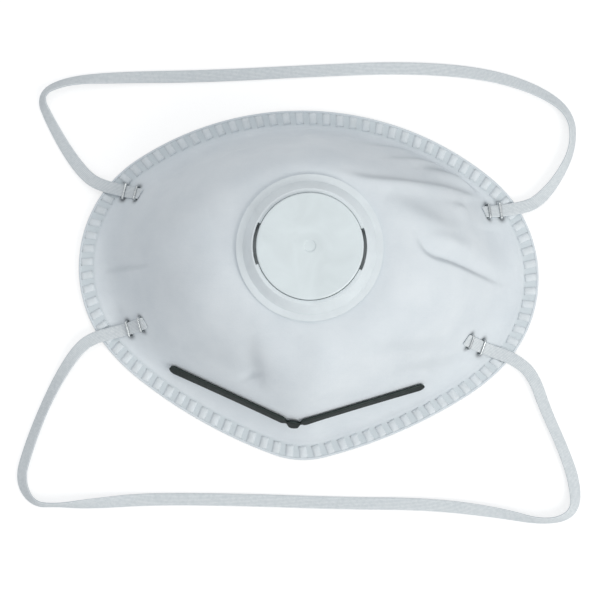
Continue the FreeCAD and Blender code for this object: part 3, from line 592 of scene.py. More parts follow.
def grid_normals(rows):
    """Outward normals of a grid of points whose columns close."""
    along = np.roll(rows, -1, axis=1) - np.roll(rows, 1, axis=1)
    across = np.gradient(rows, axis=0)
    normal = np.cross(along, across)
    size = np.linalg.norm(normal, axis=-1, keepdims=True)
    return normal / np.maximum(size, 1e-12)


def cup_rows(cup, depth, columns, flange_insets, steps, relief, flange_drop=0.0):
    """One surface of the cup as rows of points, from the rim's edge to the valve's hole."""
    slope_steps, platform_steps = steps
    sizes = cup.sizes
    number, heading = cup.along_rim(0.0, columns)
    base = cup.stack - depth
    rows = []
    shares = []
    for inset, drop in flange_insets:
        rows.append(cup.flange(number, heading, inset, base - drop * flange_drop))
        shares.append(0.0)
    for step in range(slope_steps + 1):
        t = step / slope_steps
        rows.append(cup.slope(number, heading, t, depth))
        shares.append(t)
    crown = rows[-1]
    radius = sizes.platform_radius - sizes.layer_lean * depth
    for step in range(1, platform_steps + 1):
        share = 1 - (1 - sizes.valve_hole_radius / radius) * step / platform_steps
        row = crown.copy()
        row[:, 0] *= share
        row[:, 1] = sizes.valve_offset + (row[:, 1] - sizes.valve_offset) * share
        rows.append(row)
        shares.append(1.0)
    rows = np.array(rows)
    t = np.array(shares)[:, None] + 0 * rows[..., 0]
    height, shade = relief(rows, t)
    return rows + grid_normals(rows) * height[..., None], shade


def closed_layer(name, upper, under):
    """Closed mesh between an upper and an under surface with the same columns."""
    return grid_mesh(name, np.concatenate([under[::-1], upper]), closed_rows=True)


# ---------------------------------------------------------------- places on the cup
def strap_end(sizes, cup, name, side):
    """Exit, inward direction and the reach of the two staples of a strap's end on side -1 or 1."""
    slant = getattr(sizes, name + "_slant")
    exit_y = getattr(sizes, name + "_exit_y")
    inward = Vector((-side * math.cos(slant), -math.sin(slant), 0))
    reach = getattr(sizes, name + "_from_rim")
    return Vector((side * cup.rim_x(exit_y), exit_y, 0)), inward, (reach, reach + sizes.staple_pitch)


def staple_frames(sizes, cup):
    """Point, crown direction and normal of each staple on the cup."""
    frames = []
    for name in ("upper", "lower"):
        for side in (-1, 1):
            leave, inward, reaches = strap_end(sizes, cup, name, side)
            for reach in reaches:
                place = leave + inward * reach
                point, normal = cup.place(place.x, place.y)
                frames.append((point, normal.cross(inward).normalized(), normal))
    return frames


def nose_line(sizes, cup_sizes, half_span, bend_round, stations):
    """V over the nose with a rounded bend, as x, y places from left to right, in metres."""
    cup = Cup(cup_sizes)
    bend_y = cup.arcs[0][1] - cup.arcs[0][2] + sizes.clip_bend_from_rim
    rise = sizes.clip_advance / sizes.clip_half_span
    x = np.linspace(-half_span, half_span, stations)
    bend = (x * x + bend_round**2) / (2 * bend_round)
    return np.stack([x, bend_y + rise * np.where(np.abs(x) < bend_round, bend, np.abs(x))], axis=-1)


def clip_line(scene, stations):
    """Middle line of the clip, which sits a little askew on the nose, as x, y places."""
    nose = scene.dust_mask_nose
    line = nose_line(nose, scene.dust_mask_cup, nose.clip_half_span, nose.clip_bend_round, stations)
    line[:, 1] += line[:, 0] * math.tan(nose.clip_turn)
    line[:, 0] += nose.clip_shift
    return line


def seated_pieces(scene):
    """Lines in mm that the relief keeps clear of, with their clear widths."""
    seats = [(clip_line(scene, 15) / MM, CLIP_CLEAR)]
    sizes = scene.dust_mask_straps
    cup = Cup(scene.dust_mask_cup)
    for name in ("upper", "lower"):
        for side in (-1, 1):
            leave, inward, reaches = strap_end(sizes, cup, name, side)
            last = leave + inward * (reaches[1] + PAST_STAPLE)
            seats.append((np.array([leave.xy, last.xy]) / MM, STRAP_CLEAR))
    return seats


def leg_marks(scene, cup):
    """Where the staples' legs go through the cup."""
    reach = scene.dust_mask_straps.half_crown - scene.dust_mask_straps.wire / 2
    marks = []
    for point, crown, _ in staple_frames(scene.dust_mask_straps, cup):
        marks += [point + crown * reach, point - crown * reach]
    return np.array([list(mark) for mark in marks])


# ---------------------------------------------------------------- materials
def object_place(tree, scale=(1, 1, 1), turn=(0, 0, 0)):
    """Object coordinates, scaled and turned."""
    place = add_node(tree, "ShaderNodeTexCoord")
    return add_node(tree, "ShaderNodeMapping", {}, {"Vector": place.outputs["Object"],
                                                    "Scale": scale, "Rotation": turn}).outputs[0]


def noise(tree, place, millimetres, detail=3.0, rough=0.5, distortion=0.0):
    """Noise whose lumps are about this many millimetres."""
    return add_node(tree, "ShaderNodeTexNoise", {},
                    {"Vector": place, "Scale": 1000.0 / millimetres, "Detail": detail,
                     "Roughness": rough, "Distortion": distortion}).outputs["Fac"]


def calculate(tree, operation, first, second=0.0, third=0.0):
    """One step of arithmetic on sockets or numbers."""
    return add_node(tree, "ShaderNodeMath", {"operation": operation},
                    {0: first, 1: second, 2: third}).outputs[0]


def blend_colours(tree, factor, first, second):
    """Mix two colours."""
    return add_node(tree, "ShaderNodeMix", {"data_type": "RGBA"},
                    {0: factor, 6: first, 7: second}).outputs[2]


def tint(tree, body, where, amount, hexadecimal):
    """A body colour with an amount of another colour over it, where a value says."""
    return blend_colours(tree, calculate(tree, "MULTIPLY", where, amount), body, linear(hexadecimal))


def mapped(tree, value, low, high, new_low, new_high):
    """Value moved from one range to another."""
    return add_node(tree, "ShaderNodeMapRange", {"interpolation_type": "SMOOTHSTEP"},
                    {"Value": value, "From Min": low, "From Max": high,
                     "To Min": new_low, "To Max": new_high}).outputs[0]


def attribute(tree, name):
    """A point attribute of the piece."""
    return add_node(tree, "ShaderNodeAttribute", {"attribute_name": name}).outputs["Fac"]


def bump(tree, height, strength, millimetres, under=None):
    """Bump from a height between 0 and 1."""
    inputs = {"Height": height, "Strength": strength, "Distance": millimetres * MM}
    if under is not None:
        inputs["Normal"] = under
    return add_node(tree, "ShaderNodeBump", {}, inputs).outputs[0]


def fibres(tree, millimetres, stretch=9.0):
    """Loose random fibres: thin stretched noise in several directions, as a height from 0 to 1."""
    height = None
    for turn in (10, 55, 100, 145):
        place = object_place(tree, (1, stretch, 1), (0, 0, math.radians(turn)))
        thread = noise(tree, place, millimetres * stretch, 2.0, 0.6, 0.6)
        ridge = calculate(tree, "ABSOLUTE", calculate(tree, "SUBTRACT", thread, 0.5))
        ridge = mapped(tree, ridge, 0.0, 0.06, 1.0, 0.0)
        height = ridge if height is None else calculate(tree, "MAXIMUM", height, ridge)
    return height


def spunbond_cover(colours):
    """Spunbond polypropylene, calendered and moulded: matt, very fine fibres, faint point bonds."""
    made, tree = new_material("spunbond polypropylene, moulded")
    place = object_place(tree)
    # Uneven fibre weight gives the sheet soft clouds some 8 to 20 mm across.
    cloud = noise(tree, place, 14, 3.0, 0.55)
    body = two_tones(tree, cloud, 0.3, "#D9E0E5", 0.7, colours.cover)
    # Single fibres are 0.02 mm thick; they are drawn 0.35 mm wide so that they show.
    thread = fibres(tree, 0.35)
    body = tint(tree, body, thread, 0.10, "#F4F6F7")
    # The pressed film in the grooves of the weld is denser, greyer and smoother.
    film = attribute(tree, "film")
    body = tint(tree, body, film, 0.7, colours.film)
    # Painted shade, darker along the steep sides of the folds.
    body = tint(tree, body, attribute(tree, "fold"), 0.4, "#8F989E")
    # Fibres drawn down round the staples' legs lie in shade and hold dust.
    # Painted shade round the staples' legs, where the fibres are drawn down into dimples.
    body = tint(tree, body, attribute(tree, "stain"), 0.85, "#4C5256")
    # Point bonds of the calender: 0.7 mm dimples in a diamond lattice of 2.1 mm.
    lattice = add_node(tree, "ShaderNodeSeparateXYZ", {},
                       {0: object_place(tree, (1, 1, 1), (0, 0, math.radians(45)))})
    wave = 2 * math.pi / 0.0021
    across = calculate(tree, "SINE", calculate(tree, "MULTIPLY", lattice.outputs[0], wave))
    along = calculate(tree, "SINE", calculate(tree, "MULTIPLY", lattice.outputs[1], wave))
    dots = mapped(tree, calculate(tree, "MULTIPLY", across, along), 0.45, 0.9, 1.0, 0.0)
    rough = mapped(tree, film, 0.0, 1.0, 0.86, 0.55)
    relief = bump(tree, dots, 0.16, 0.05)
    relief = bump(tree, noise(tree, place, 0.9, 4.0, 0.6), 0.35, 0.08, relief)
    relief = bump(tree, thread, 0.22, 0.05, relief)
    return principled(made, tree, {
        "Base Color": body, "Roughness": rough, "Normal": relief, "IOR": 1.49,
        "Specular IOR Level": 0.3, "Sheen Weight": 0.12, "Sheen Roughness": 0.5})


def weld_bar_film(colours):
    """Cover squeezed up between the teeth of the welding horn: smooth, dense and slightly glossy."""
    made, tree = new_material("spunbond polypropylene, welded bars")
    place = object_place(tree)
    body = two_tones(tree, noise(tree, place, 3.0, 3.0), 0.3, "#D9DFE2", 0.7, colours.cover)
    relief = bump(tree, noise(tree, place, 0.6, 3.0), 0.25, 0.06)
    return principled(made, tree, {
        "Base Color": body, "Roughness": 0.58, "Normal": relief, "IOR": 1.49,
        "Specular IOR Level": 0.4})


def meltblown_layer(colours):
    """Meltblown polypropylene: a limp, even web of microfibres, white and fully matt."""
    made, tree = new_material("meltblown polypropylene")
    place = object_place(tree)
    cloud = noise(tree, place, 5, 4.0, 0.6)
    body = two_tones(tree, cloud, 0.3, "#E2E5E6", 0.7, colours.meltblown)
    relief = bump(tree, noise(tree, place, 0.5, 4.0, 0.65), 0.3, 0.08)
    return principled(made, tree, {
        "Base Color": body, "Roughness": 0.95, "Normal": relief, "IOR": 1.49,
        "Specular IOR Level": 0.2, "Sheen Weight": 0.1})


def needle_felt(colours):
    """Thermoformed needle felt of polyester: stiff, fuzzy, with the needles' fine pits."""
    made, tree = new_material("polyester needle felt, thermoformed")
    place = object_place(tree)
    cloud = noise(tree, place, 9, 4.0, 0.6)
    body = two_tones(tree, cloud, 0.25, "#D6D6D0", 0.75, colours.felt)
    thread = fibres(tree, 0.45, 7.0)
    body = tint(tree, body, thread, 0.16, "#F7F7F3")
    # Needle holes are 0.3 mm; the pits are drawn 0.9 mm apart.
    pits = add_node(tree, "ShaderNodeTexVoronoi", {}, {"Vector": place, "Scale": 1000 / 0.9})
    hole = mapped(tree, pits.outputs["Distance"], 0.05, 0.35, 0.0, 1.0)
    # Painted shade: the needle pits are coloured darker.
    body = tint(tree, body, calculate(tree, "SUBTRACT", 1.0, hole), 0.2, "#B9B9B2")
    relief = bump(tree, hole, 0.3, 0.12)
    relief = bump(tree, thread, 0.4, 0.1, relief)
    return principled(made, tree, {
        "Base Color": body, "Roughness": 0.96, "Normal": relief, "IOR": 1.5,
        "Specular IOR Level": 0.2, "Sheen Weight": 0.25, "Sheen Roughness": 0.6})


def moulded_plastic(name, shade, rough):
    """Injection-moulded polypropylene: satin from a fine spark-eroded mould, with soft flow marks."""
    made, tree = new_material(name)
    place = object_place(tree)
    flow = noise(tree, place, 11, 2.0, 0.5, 1.2)
    tone = linear(shade)
    deep = tuple(0.93 * channel for channel in tone[:3]) + (1.0,)
    body = ramp(tree, flow, [(0.3, deep), (0.7, tone)]).outputs[0]
    # Spark erosion leaves 0.03 mm pits, drawn 0.25 mm wide.
    grain = noise(tree, place, 0.25, 2.0, 0.5)
    gloss = mapped(tree, flow, 0.3, 0.7, rough - 0.05, rough + 0.06)
    relief = bump(tree, grain, 0.12, 0.03)
    relief = bump(tree, flow, 0.1, 0.12, relief)
    return principled(made, tree, {
        "Base Color": body, "Roughness": gloss, "Normal": relief, "IOR": 1.49,
        "Specular IOR Level": 0.5, "Subsurface Weight": 0.08,
        "Subsurface Radius": (0.002, 0.002, 0.002), "Subsurface Scale": 1.0})


def silicone_sheet(colours):
    """Calendered silicone rubber: soft, slightly yellow and translucent, with a dusting of talc."""
    made, tree = new_material("silicone rubber sheet")
    place = object_place(tree)
    talc = noise(tree, place, 2.2, 4.0, 0.6)
    body = two_tones(tree, talc, 0.35, "#C9C5B8", 0.7, colours.silicone)
    gloss = mapped(tree, talc, 0.3, 0.7, 0.38, 0.6)
    relief = bump(tree, talc, 0.15, 0.03)
    return principled(made, tree, {
        "Base Color": body, "Roughness": gloss, "Normal": relief, "IOR": 1.41,
        "Subsurface Weight": 0.25, "Subsurface Radius": (0.003, 0.003, 0.003),
        "Subsurface Scale": 1.0})


def strip_with_painted_dark_reflection(colours):
    """Rolled aluminium strip, coloured dark as a painted reflection of dark surroundings: satin, with fine
    rolling lines.
    """
    made, tree = new_material("aluminium strip, dark anodised")
    lines = add_node(tree, "ShaderNodeCombineXYZ", {},
                     {"X": calculate(tree, "MULTIPLY", attribute(tree, "along"), 0.05),
                      "Y": attribute(tree, "across")}).outputs[0]
    # Rolling lines are a few hundredths of a millimetre apart and are drawn at 0.2 mm.
    roll = noise(tree, lines, 0.2, 2.0, 0.6)
    worn = noise(tree, object_place(tree), 4.0, 4.0, 0.6)
    body = two_tones(tree, worn, 0.35, colours.clip, 0.75, "#202A28")
    edge = mapped(tree, calculate(tree, "ABSOLUTE", attribute(tree, "across")),
                  0.0017, 0.0020, 0.0, 0.5)
    body = blend_colours(tree, edge, body, linear("#36413F"))
    gloss = mapped(tree, roll, 0.3, 0.7, 0.34, 0.5)
    relief = bump(tree, roll, 0.2, 0.02)
    relief = bump(tree, worn, 0.12, 0.1, relief)
    return principled(made, tree, {
        "Base Color": body, "Metallic": 0.55, "Roughness": gloss, "Normal": relief})


def zinc_wire(colours):
    """Zinc-plated steel wire: bright, faintly drawn along its length, dull at the bends."""
    made, tree = new_material("steel wire, zinc plated")
    place = object_place(tree)
    spots = noise(tree, place, 0.8, 3.0, 0.6)
    body = two_tones(tree, spots, 0.35, "#A9AEB1", 0.65, colours.wire)
    gloss = mapped(tree, spots, 0.3, 0.7, 0.24, 0.4)
    relief = bump(tree, noise(tree, place, 0.3, 2.0), 0.1, 0.02)
    return principled(made, tree, {
        "Base Color": body, "Metallic": 1.0, "Roughness": gloss, "Normal": relief})


def woven_elastic(colours, cords):
    """Narrow-woven polyester over rubber cords: ribs along it, fine weft across, soft sheen."""
    made, tree = new_material("polyester elastic, narrow woven")
    along = attribute(tree, "along")
    across = attribute(tree, "across")
    rib = calculate(tree, "COSINE", calculate(tree, "MULTIPLY", across, math.pi * cords))
    rib = mapped(tree, rib, -1.0, 1.0, 0.0, 1.0)
    # Weft threads are 0.25 mm apart and are drawn at 0.65 mm; each rib's threads are offset.
    shift = calculate(tree, "MULTIPLY", calculate(tree, "FLOOR", calculate(
        tree, "MULTIPLY", calculate(tree, "ADD", across, 1.0), cords / 2)), math.pi)
    weft = calculate(tree, "SINE", calculate(tree, "ADD", calculate(
        tree, "MULTIPLY", along, 2 * math.pi / 0.00065), shift))
    weft = mapped(tree, weft, -1.0, 1.0, 0.0, 1.0)
    place = object_place(tree)
    weave = calculate(tree, "MULTIPLY", rib, calculate(tree, "MULTIPLY_ADD", weft, 0.5, 0.5))
    tone = linear(colours.strap)
    # Painted shade: the weave is coloured darker in its grooves between the cords and threads.
    body = ramp(tree, weave, [(0.0, linear("#C9D0D4")), (0.5, tone), (1.0, linear("#E9EDEE"))]).outputs[0]
    worn = noise(tree, place, 1.1, 3.0, 0.7)
    body = blend_colours(tree, mapped(tree, worn, 0.38, 0.66, 0.0, 0.4), body, linear("#C3CBCF"))
    relief = bump(tree, rib, 0.22, 0.08)
    relief = bump(tree, weft, 0.3, 0.06, relief)
    relief = bump(tree, noise(tree, place, 0.3, 3.0, 0.6), 0.25, 0.04, relief)
    return principled(made, tree, {
        "Base Color": body, "Roughness": 0.78, "Normal": relief, "IOR": 1.5,
        "Specular IOR Level": 0.3, "Sheen Weight": 0.2, "Sheen Roughness": 0.4})


def open_foam(colours):
    """Open-cell polyurethane foam: dark grey, matt, with cells of about half a millimetre."""
    made, tree = new_material("polyurethane foam, open cell")
    place = object_place(tree)
    cells = add_node(tree, "ShaderNodeTexVoronoi", {}, {"Vector": place, "Scale": 1000 / 0.7,
                                                        "Randomness": 1.0})
    open_cell = mapped(tree, cells.outputs["Distance"], 0.1, 0.6, 0.0, 1.0)
    body = two_tones(tree, open_cell, 0.0, "#26292C", 0.8, colours.foam)
    relief = bump(tree, open_cell, 0.6, 0.25)
    relief = bump(tree, noise(tree, place, 3.0), 0.3, 0.3, relief)
    return principled(made, tree, {
        "Base Color": body, "Roughness": 0.97, "Normal": relief, "IOR": 1.5,
        "Specular IOR Level": 0.15, "Sheen Weight": 0.15})


# ---------------------------------------------------------------- Geometry Nodes helpers
def node_group(name, sizes):
    """Geometry Nodes group with a geometry input, named size inputs and a geometry output."""
    tree = bpy.data.node_groups.new(name, "GeometryNodeTree")
    tree.interface.new_socket("Geometry", in_out="INPUT", socket_type="NodeSocketGeometry")
    for label, kind, default in sizes:
        socket = tree.interface.new_socket(label, in_out="INPUT", socket_type=kind)
        socket.default_value = default
    tree.interface.new_socket("Geometry", in_out="OUTPUT", socket_type="NodeSocketGeometry")
    return tree, add_node(tree, "NodeGroupInput")


def finish_group(tree, geometry, material):
    """Shade smooth, realise the instances, set the material and end the tree."""
    real = add_node(tree, "GeometryNodeRealizeInstances", {}, {"Geometry": geometry})
    soft = add_node(tree, "GeometryNodeSetShadeSmooth", {}, {"Geometry": real.outputs[0]})
    done = add_node(tree, "GeometryNodeSetMaterial", {}, {"Geometry": soft.outputs[0]})
    done.inputs["Material"].default_value = material
    add_node(tree, "NodeGroupOutput", {}, {"Geometry": done.outputs[0]})


def apply_group(item, tree, values):
    """Run a group on an object with these sizes, and keep the result as a plain mesh."""
    modifier = item.modifiers.new(tree.name, "NODES")
    modifier.node_group = tree
    for socket in tree.interface.items_tree:
        if socket.in_out == "INPUT" and socket.name in values:
            modifier[socket.identifier] = values[socket.name]
    return frozen(item)


# ---------------------------------------------------------------- pieces
def build_cup(scene):
    """Outer cover, filter layer and support shell."""
    sizes = scene.dust_mask_cup
    weld = scene.dust_mask_weld
    colours = scene.dust_mask_colours
    cup = Cup(sizes)
    relief = Relief(cup, seated_pieces(scene))
    edge = weld.edge
    width = sizes.flange_width
    flange = [(0.0, 2), (0.00012, 0.4), (0.00035, 0), (edge - 0.0001, 0), (edge + 0.00015, 1),
              (edge + 0.0012, 1), (width / 2, 1), (width - 0.0013, 1), (width - 0.0008, 0.8),
              (width - 0.0003, 0.1)]
    plain = [(0.0, 0), (width / 2, 0)]
    columns = sizes.columns
    upper, shade = cup_rows(cup, 0.0, columns, flange, FINE_ROWS, relief, weld.press)
    under, _ = cup_rows(cup, sizes.cover_wall, columns, plain, PLAIN_ROWS, relief)
    mesh = closed_layer("outer_cover", upper, under)
    places = np.array([vertex.co[:] for vertex in mesh.vertices])
    # Rows count from the rim's edge. Rows 4 to 7 are the pressed film and row 8 is its inner edge.
    row = np.arange(len(places)) // columns - len(under)
    pressed = np.isin(row, (4, 5, 6, 7)).astype(float) + 0.7 * (row == 8)
    marks = leg_marks(scene, cup)
    near = np.min(np.linalg.norm(places[:, None, :] - marks[None, :, :], axis=2), axis=1) / MM
    # Painted shade round the staples' legs, on the upper face only.
    stain = np.exp(-(near / 1.05) ** 2)
    stain[row < 0] = 0
    places[:, 2] -= LEG_DIMPLE * np.exp(-(near / 1.0) ** 2) * (row >= 0)
    mesh.vertices.foreach_set("co", places.astype(np.float32).ravel())
    point_value(mesh, "film", pressed)
    point_value(mesh, "stain", stain)
    # Painted shade along the steep sides of the folds, on the upper face only.
    point_value(mesh, "fold", np.concatenate([np.zeros(under.shape[:2]), shade]).ravel())
    smooth(mesh, 42)
    seat(new_object("cover", mesh, spunbond_cover(colours)), "outer_cover", "outer_cover")

    rolled = [(0.0, -0.4), (0.0003, 0), (width / 2, 0), (width - 0.0003, 0)]
    layers = (("filter", "filter_layer", sizes.filter_wall, plain, 0.0, meltblown_layer),
              ("felt_shell", "support_shell", sizes.shell_wall, rolled, 0.00025, needle_felt))
    depth = sizes.cover_wall
    for name, node, wall, inner_flange, drop, finish in layers:
        upper, _ = cup_rows(cup, depth + LAYER_GAP, columns // 2, plain, PLAIN_ROWS, relief)
        depth += wall
        under, _ = cup_rows(cup, depth, columns // 2, inner_flange, PLAIN_ROWS, relief, drop)
        mesh = closed_layer(node, upper, under)
        smooth(mesh, 42)
        seat(new_object(name, mesh, finish(colours)), node, node)


def build_weld(scene):
    """Raised bars of the ultrasonic weld, set along the rim by Geometry Nodes."""
    weld = scene.dust_mask_weld
    cup = Cup(scene.dust_mask_cup)
    tree, given = node_group("weld bars", [
        ("Bar Count", "NodeSocketInt", 90), ("Bar Width", "NodeSocketFloat", 0.0026),
        ("Bar Length", "NodeSocketFloat", 0.0042), ("Bar Rise", "NodeSocketFloat", 0.0004),
        ("Slant", "NodeSocketFloat", 0.1)])
    rim = add_node(tree, "GeometryNodeMeshToCurve", {}, {"Mesh": given.outputs["Geometry"]})
    places = add_node(tree, "GeometryNodeResampleCurve", {},
                      {"Curve": rim.outputs[0], "Count": given.outputs["Bar Count"]})
    size = add_node(tree, "ShaderNodeCombineXYZ", {}, {"X": given.outputs["Bar Width"],
                                                       "Y": given.outputs["Bar Length"], "Z": 0.0002})
    block = add_node(tree, "GeometryNodeMeshCube", {}, {"Size": size.outputs[0], "Vertices X": 5,
                                                        "Vertices Y": 7, "Vertices Z": 2})
    # The top swells into a pillow: (1 - u^2.4)(1 - v^4), where u and v are 1 at its edges.
    place = add_node(tree, "GeometryNodeInputPosition")
    part = add_node(tree, "ShaderNodeSeparateXYZ", {}, {"Vector": place.outputs[0]})
    swell = None
    for axis, label, power in ((0, "Bar Width", 2.4), (1, "Bar Length", 4.0)):
        half = calculate(tree, "MULTIPLY", given.outputs[label], 0.5)
        share = calculate(tree, "ABSOLUTE", calculate(tree, "DIVIDE", part.outputs[axis], half))
        fall = calculate(tree, "SUBTRACT", 1.0, calculate(tree, "POWER", share, power))
        swell = fall if swell is None else calculate(tree, "MULTIPLY", swell, fall)
    top = calculate(tree, "GREATER_THAN", part.outputs[2], 0.0)
    rise = calculate(tree, "MULTIPLY", calculate(tree, "MULTIPLY", swell, top),
                     given.outputs["Bar Rise"])
    lift = add_node(tree, "ShaderNodeCombineXYZ", {}, {"Z": rise})
    pillow = add_node(tree, "GeometryNodeSetPosition", {}, {"Geometry": block.outputs[0],
                                                            "Offset": lift.outputs[0]})
    tangent = add_node(tree, "GeometryNodeInputTangent")
    facing = add_node(tree, "FunctionNodeAlignRotationToVector", {"axis": "X", "pivot_axis": "Z"},
                      {"Vector": tangent.outputs[0]})
    bars = add_node(tree, "GeometryNodeInstanceOnPoints", {},
                    {"Points": places.outputs[0], "Instance": pillow.outputs[0],
                     "Rotation": facing.outputs[0]})
    lean = add_node(tree, "ShaderNodeCombineXYZ", {}, {"Z": given.outputs["Slant"]})
    turned = add_node(tree, "GeometryNodeRotateInstances", {},
                      {"Instances": bars.outputs[0], "Rotation": lean.outputs[0]})
    finish_group(tree, turned.outputs[0], weld_bar_film(scene.dust_mask_colours))
    middle = weld.edge + weld.bar_length / 2
    number, heading = cup.along_rim(0.0, 720)
    line = cup.flange(number, heading, middle, cup.stack - weld.press)
    mesh = bpy.data.meshes.new("rim_line")
    mesh.from_pydata(line.tolist(), [(i, (i + 1) % len(line)) for i in range(len(line))], [])
    item = apply_group(new_object("weld_bars", mesh), tree, {
        "Bar Count": weld.count, "Bar Width": weld.bar_width, "Bar Length": weld.bar_length,
        "Bar Rise": weld.bar_rise, "Slant": weld.slant})
    seat(item, "outer_cover")


def softened(node, name, round_edge, material, slot):
    """Copy of a solid with its edges rounded as a mould leaves them, in place of the solid."""
    item = new_object(name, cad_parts[node].data.copy())
    item.data.materials.clear()
    item.data.materials.append(material)
    work = bmesh.new()
    work.from_mesh(item.data)
    bmesh.ops.remove_doubles(work, verts=work.verts, dist=2e-6)
    bmesh.ops.dissolve_limit(work, angle_limit=math.radians(1.0), verts=work.verts, edges=work.edges,
                             delimit=set())
    sharp = [e for e in work.edges
             if len(e.link_faces) == 2 and e.calc_face_angle(0.0) > math.radians(35)]
    bmesh.ops.bevel(work, geom=sharp, offset=round_edge, segments=2, profile=0.5,
                    affect="EDGES", clamp_overlap=True)
    bmesh.ops.triangulate(work, faces=[f for f in work.faces if len(f.verts) > 4])
    work.to_mesh(item.data)
    work.free()
    smooth(item.data, 32)
    seat(item, slot, node)


def build_valve(scene):
    """Valve base, clamp ring, cover and diaphragm."""
    colours = scene.dust_mask_colours
    shell = moulded_plastic("polypropylene, moulded, valve cover", colours.cap, 0.36)
    base = moulded_plastic("polypropylene, moulded, valve base", colours.seat, 0.42)
    mouldings = (("valve_cover", "valve_cap", 0.22, shell, "valve_plastic"),
                 ("valve_clamp_ring", "valve_ring", 0.15, shell, "valve_plastic"),
                 ("valve_base", "valve_seat", 0.18, base, "valve_seat"))
    for node, name, round_edge, plastic, slot in mouldings:
        softened(node, name, round_edge * MM, plastic, slot)
    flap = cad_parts["valve_diaphragm"]
    sheet = silicone_sheet(colours)
    if flap.material_slots:
        for material_slot in flap.material_slots:
            material_slot.material = sheet
    else:
        flap.data.materials.append(sheet)


def strip(name, line, cup, width, wall, lift, points_across, rounding, shaping):
    """Closed strip that lies on the cup along a line, with rounded section and ends."""
    places = [cup.place(x, y) for x, y in line]
    middles = np.array([list(point + normal * lift) for point, normal in places])
    normals = np.array([list(normal) for _, normal in places])
    along = walk(middles)
    across, out = line_frames(middles, normals)
    from_end = np.minimum(along, along[-1] - along)
    half = width / 2
    held = np.clip(1 - from_end / half, 0, 1)
    narrow = np.sqrt(np.maximum(1 - held**2, 0.0))
    turn = np.linspace(0, 2 * np.pi, points_across, endpoint=False)
    power = 2 / rounding
    side = np.sign(np.cos(turn)) * np.abs(np.cos(turn)) ** power
    high = np.sign(np.sin(turn)) * np.abs(np.sin(turn)) ** power
    rows = []
    for index, middle in enumerate(middles):
        wide = half * max(narrow[index], 0.12)
        wide, tall, up = shaping(along[index] - along[-1] / 2, wide, wall / 2)
        rows.append(middle + out[index] * up + side[:, None] * across[index] * wide
                    + high[:, None] * out[index] * tall)
    mesh = capped_tube(name, np.array(rows))
    point_value(mesh, "along", np.repeat(along, points_across))
    point_value(mesh, "across", np.tile(side, len(rows)) * half)
    return mesh


def build_clip(scene):
    """Nose clip: a soft strip bent over the nose, pinched each side of its bend."""
    nose = scene.dust_mask_nose
    cup = Cup(scene.dust_mask_cup)
    line = clip_line(scene, 181)

    def pinch(along, wide, tall):
        """Two pinches and the short fold between them, a little left of the middle."""
        place = along / MM + 0.3
        grip = math.exp(-((place - 2.4) / 0.8) ** 2) + math.exp(-((place + 2.4) / 0.8) ** 2)
        knob = math.exp(-(place / 1.8) ** 4)
        side = 0.5 + 0.5 * math.tanh(along / MM / 6)
        flat = 0.86 - 0.12 * side
        return wide * (flat - 0.58 * grip + 0.12 * knob), tall * (1 + 0.4 * knob), 0.5 * knob * MM

    mesh = strip("nose_clip", line, cup, nose.clip_width, nose.clip_wall,
                 nose.glue_line + nose.clip_wall / 2, 24, 5, pinch)
    smooth(mesh, 50)
    item = new_object("nose_strip", mesh, strip_with_painted_dark_reflection(scene.dust_mask_colours))
    seat(item, "nose_clip", "nose_clip")


def build_foam(scene):
    """Foam strip inside the nose."""
    nose = scene.dust_mask_nose
    cup = Cup(scene.dust_mask_cup)
    line = nose_line(nose, scene.dust_mask_cup, nose.pad_half_span, nose.pad_bend_round, 121)
    lift = -cup.stack - nose.glue_line - nose.pad_wall / 2

    def swell(along, wide, tall):
        """Foam cut by hand is never quite even."""
        wave = 0.02 * math.sin(along / MM / 3.1) + 0.015 * math.sin(along / MM / 1.3 + 1)
        return wide * (1 + wave), tall * (1 + 1.5 * wave), 0.0

    mesh = strip("nose_foam", line, cup, nose.pad_width, nose.pad_wall, lift, 28, 4, swell)
    smooth(mesh, 50)
    item = new_object("nose_foam", mesh, open_foam(scene.dust_mask_colours))
    seat(item, "nose_pad", "nose_pad")


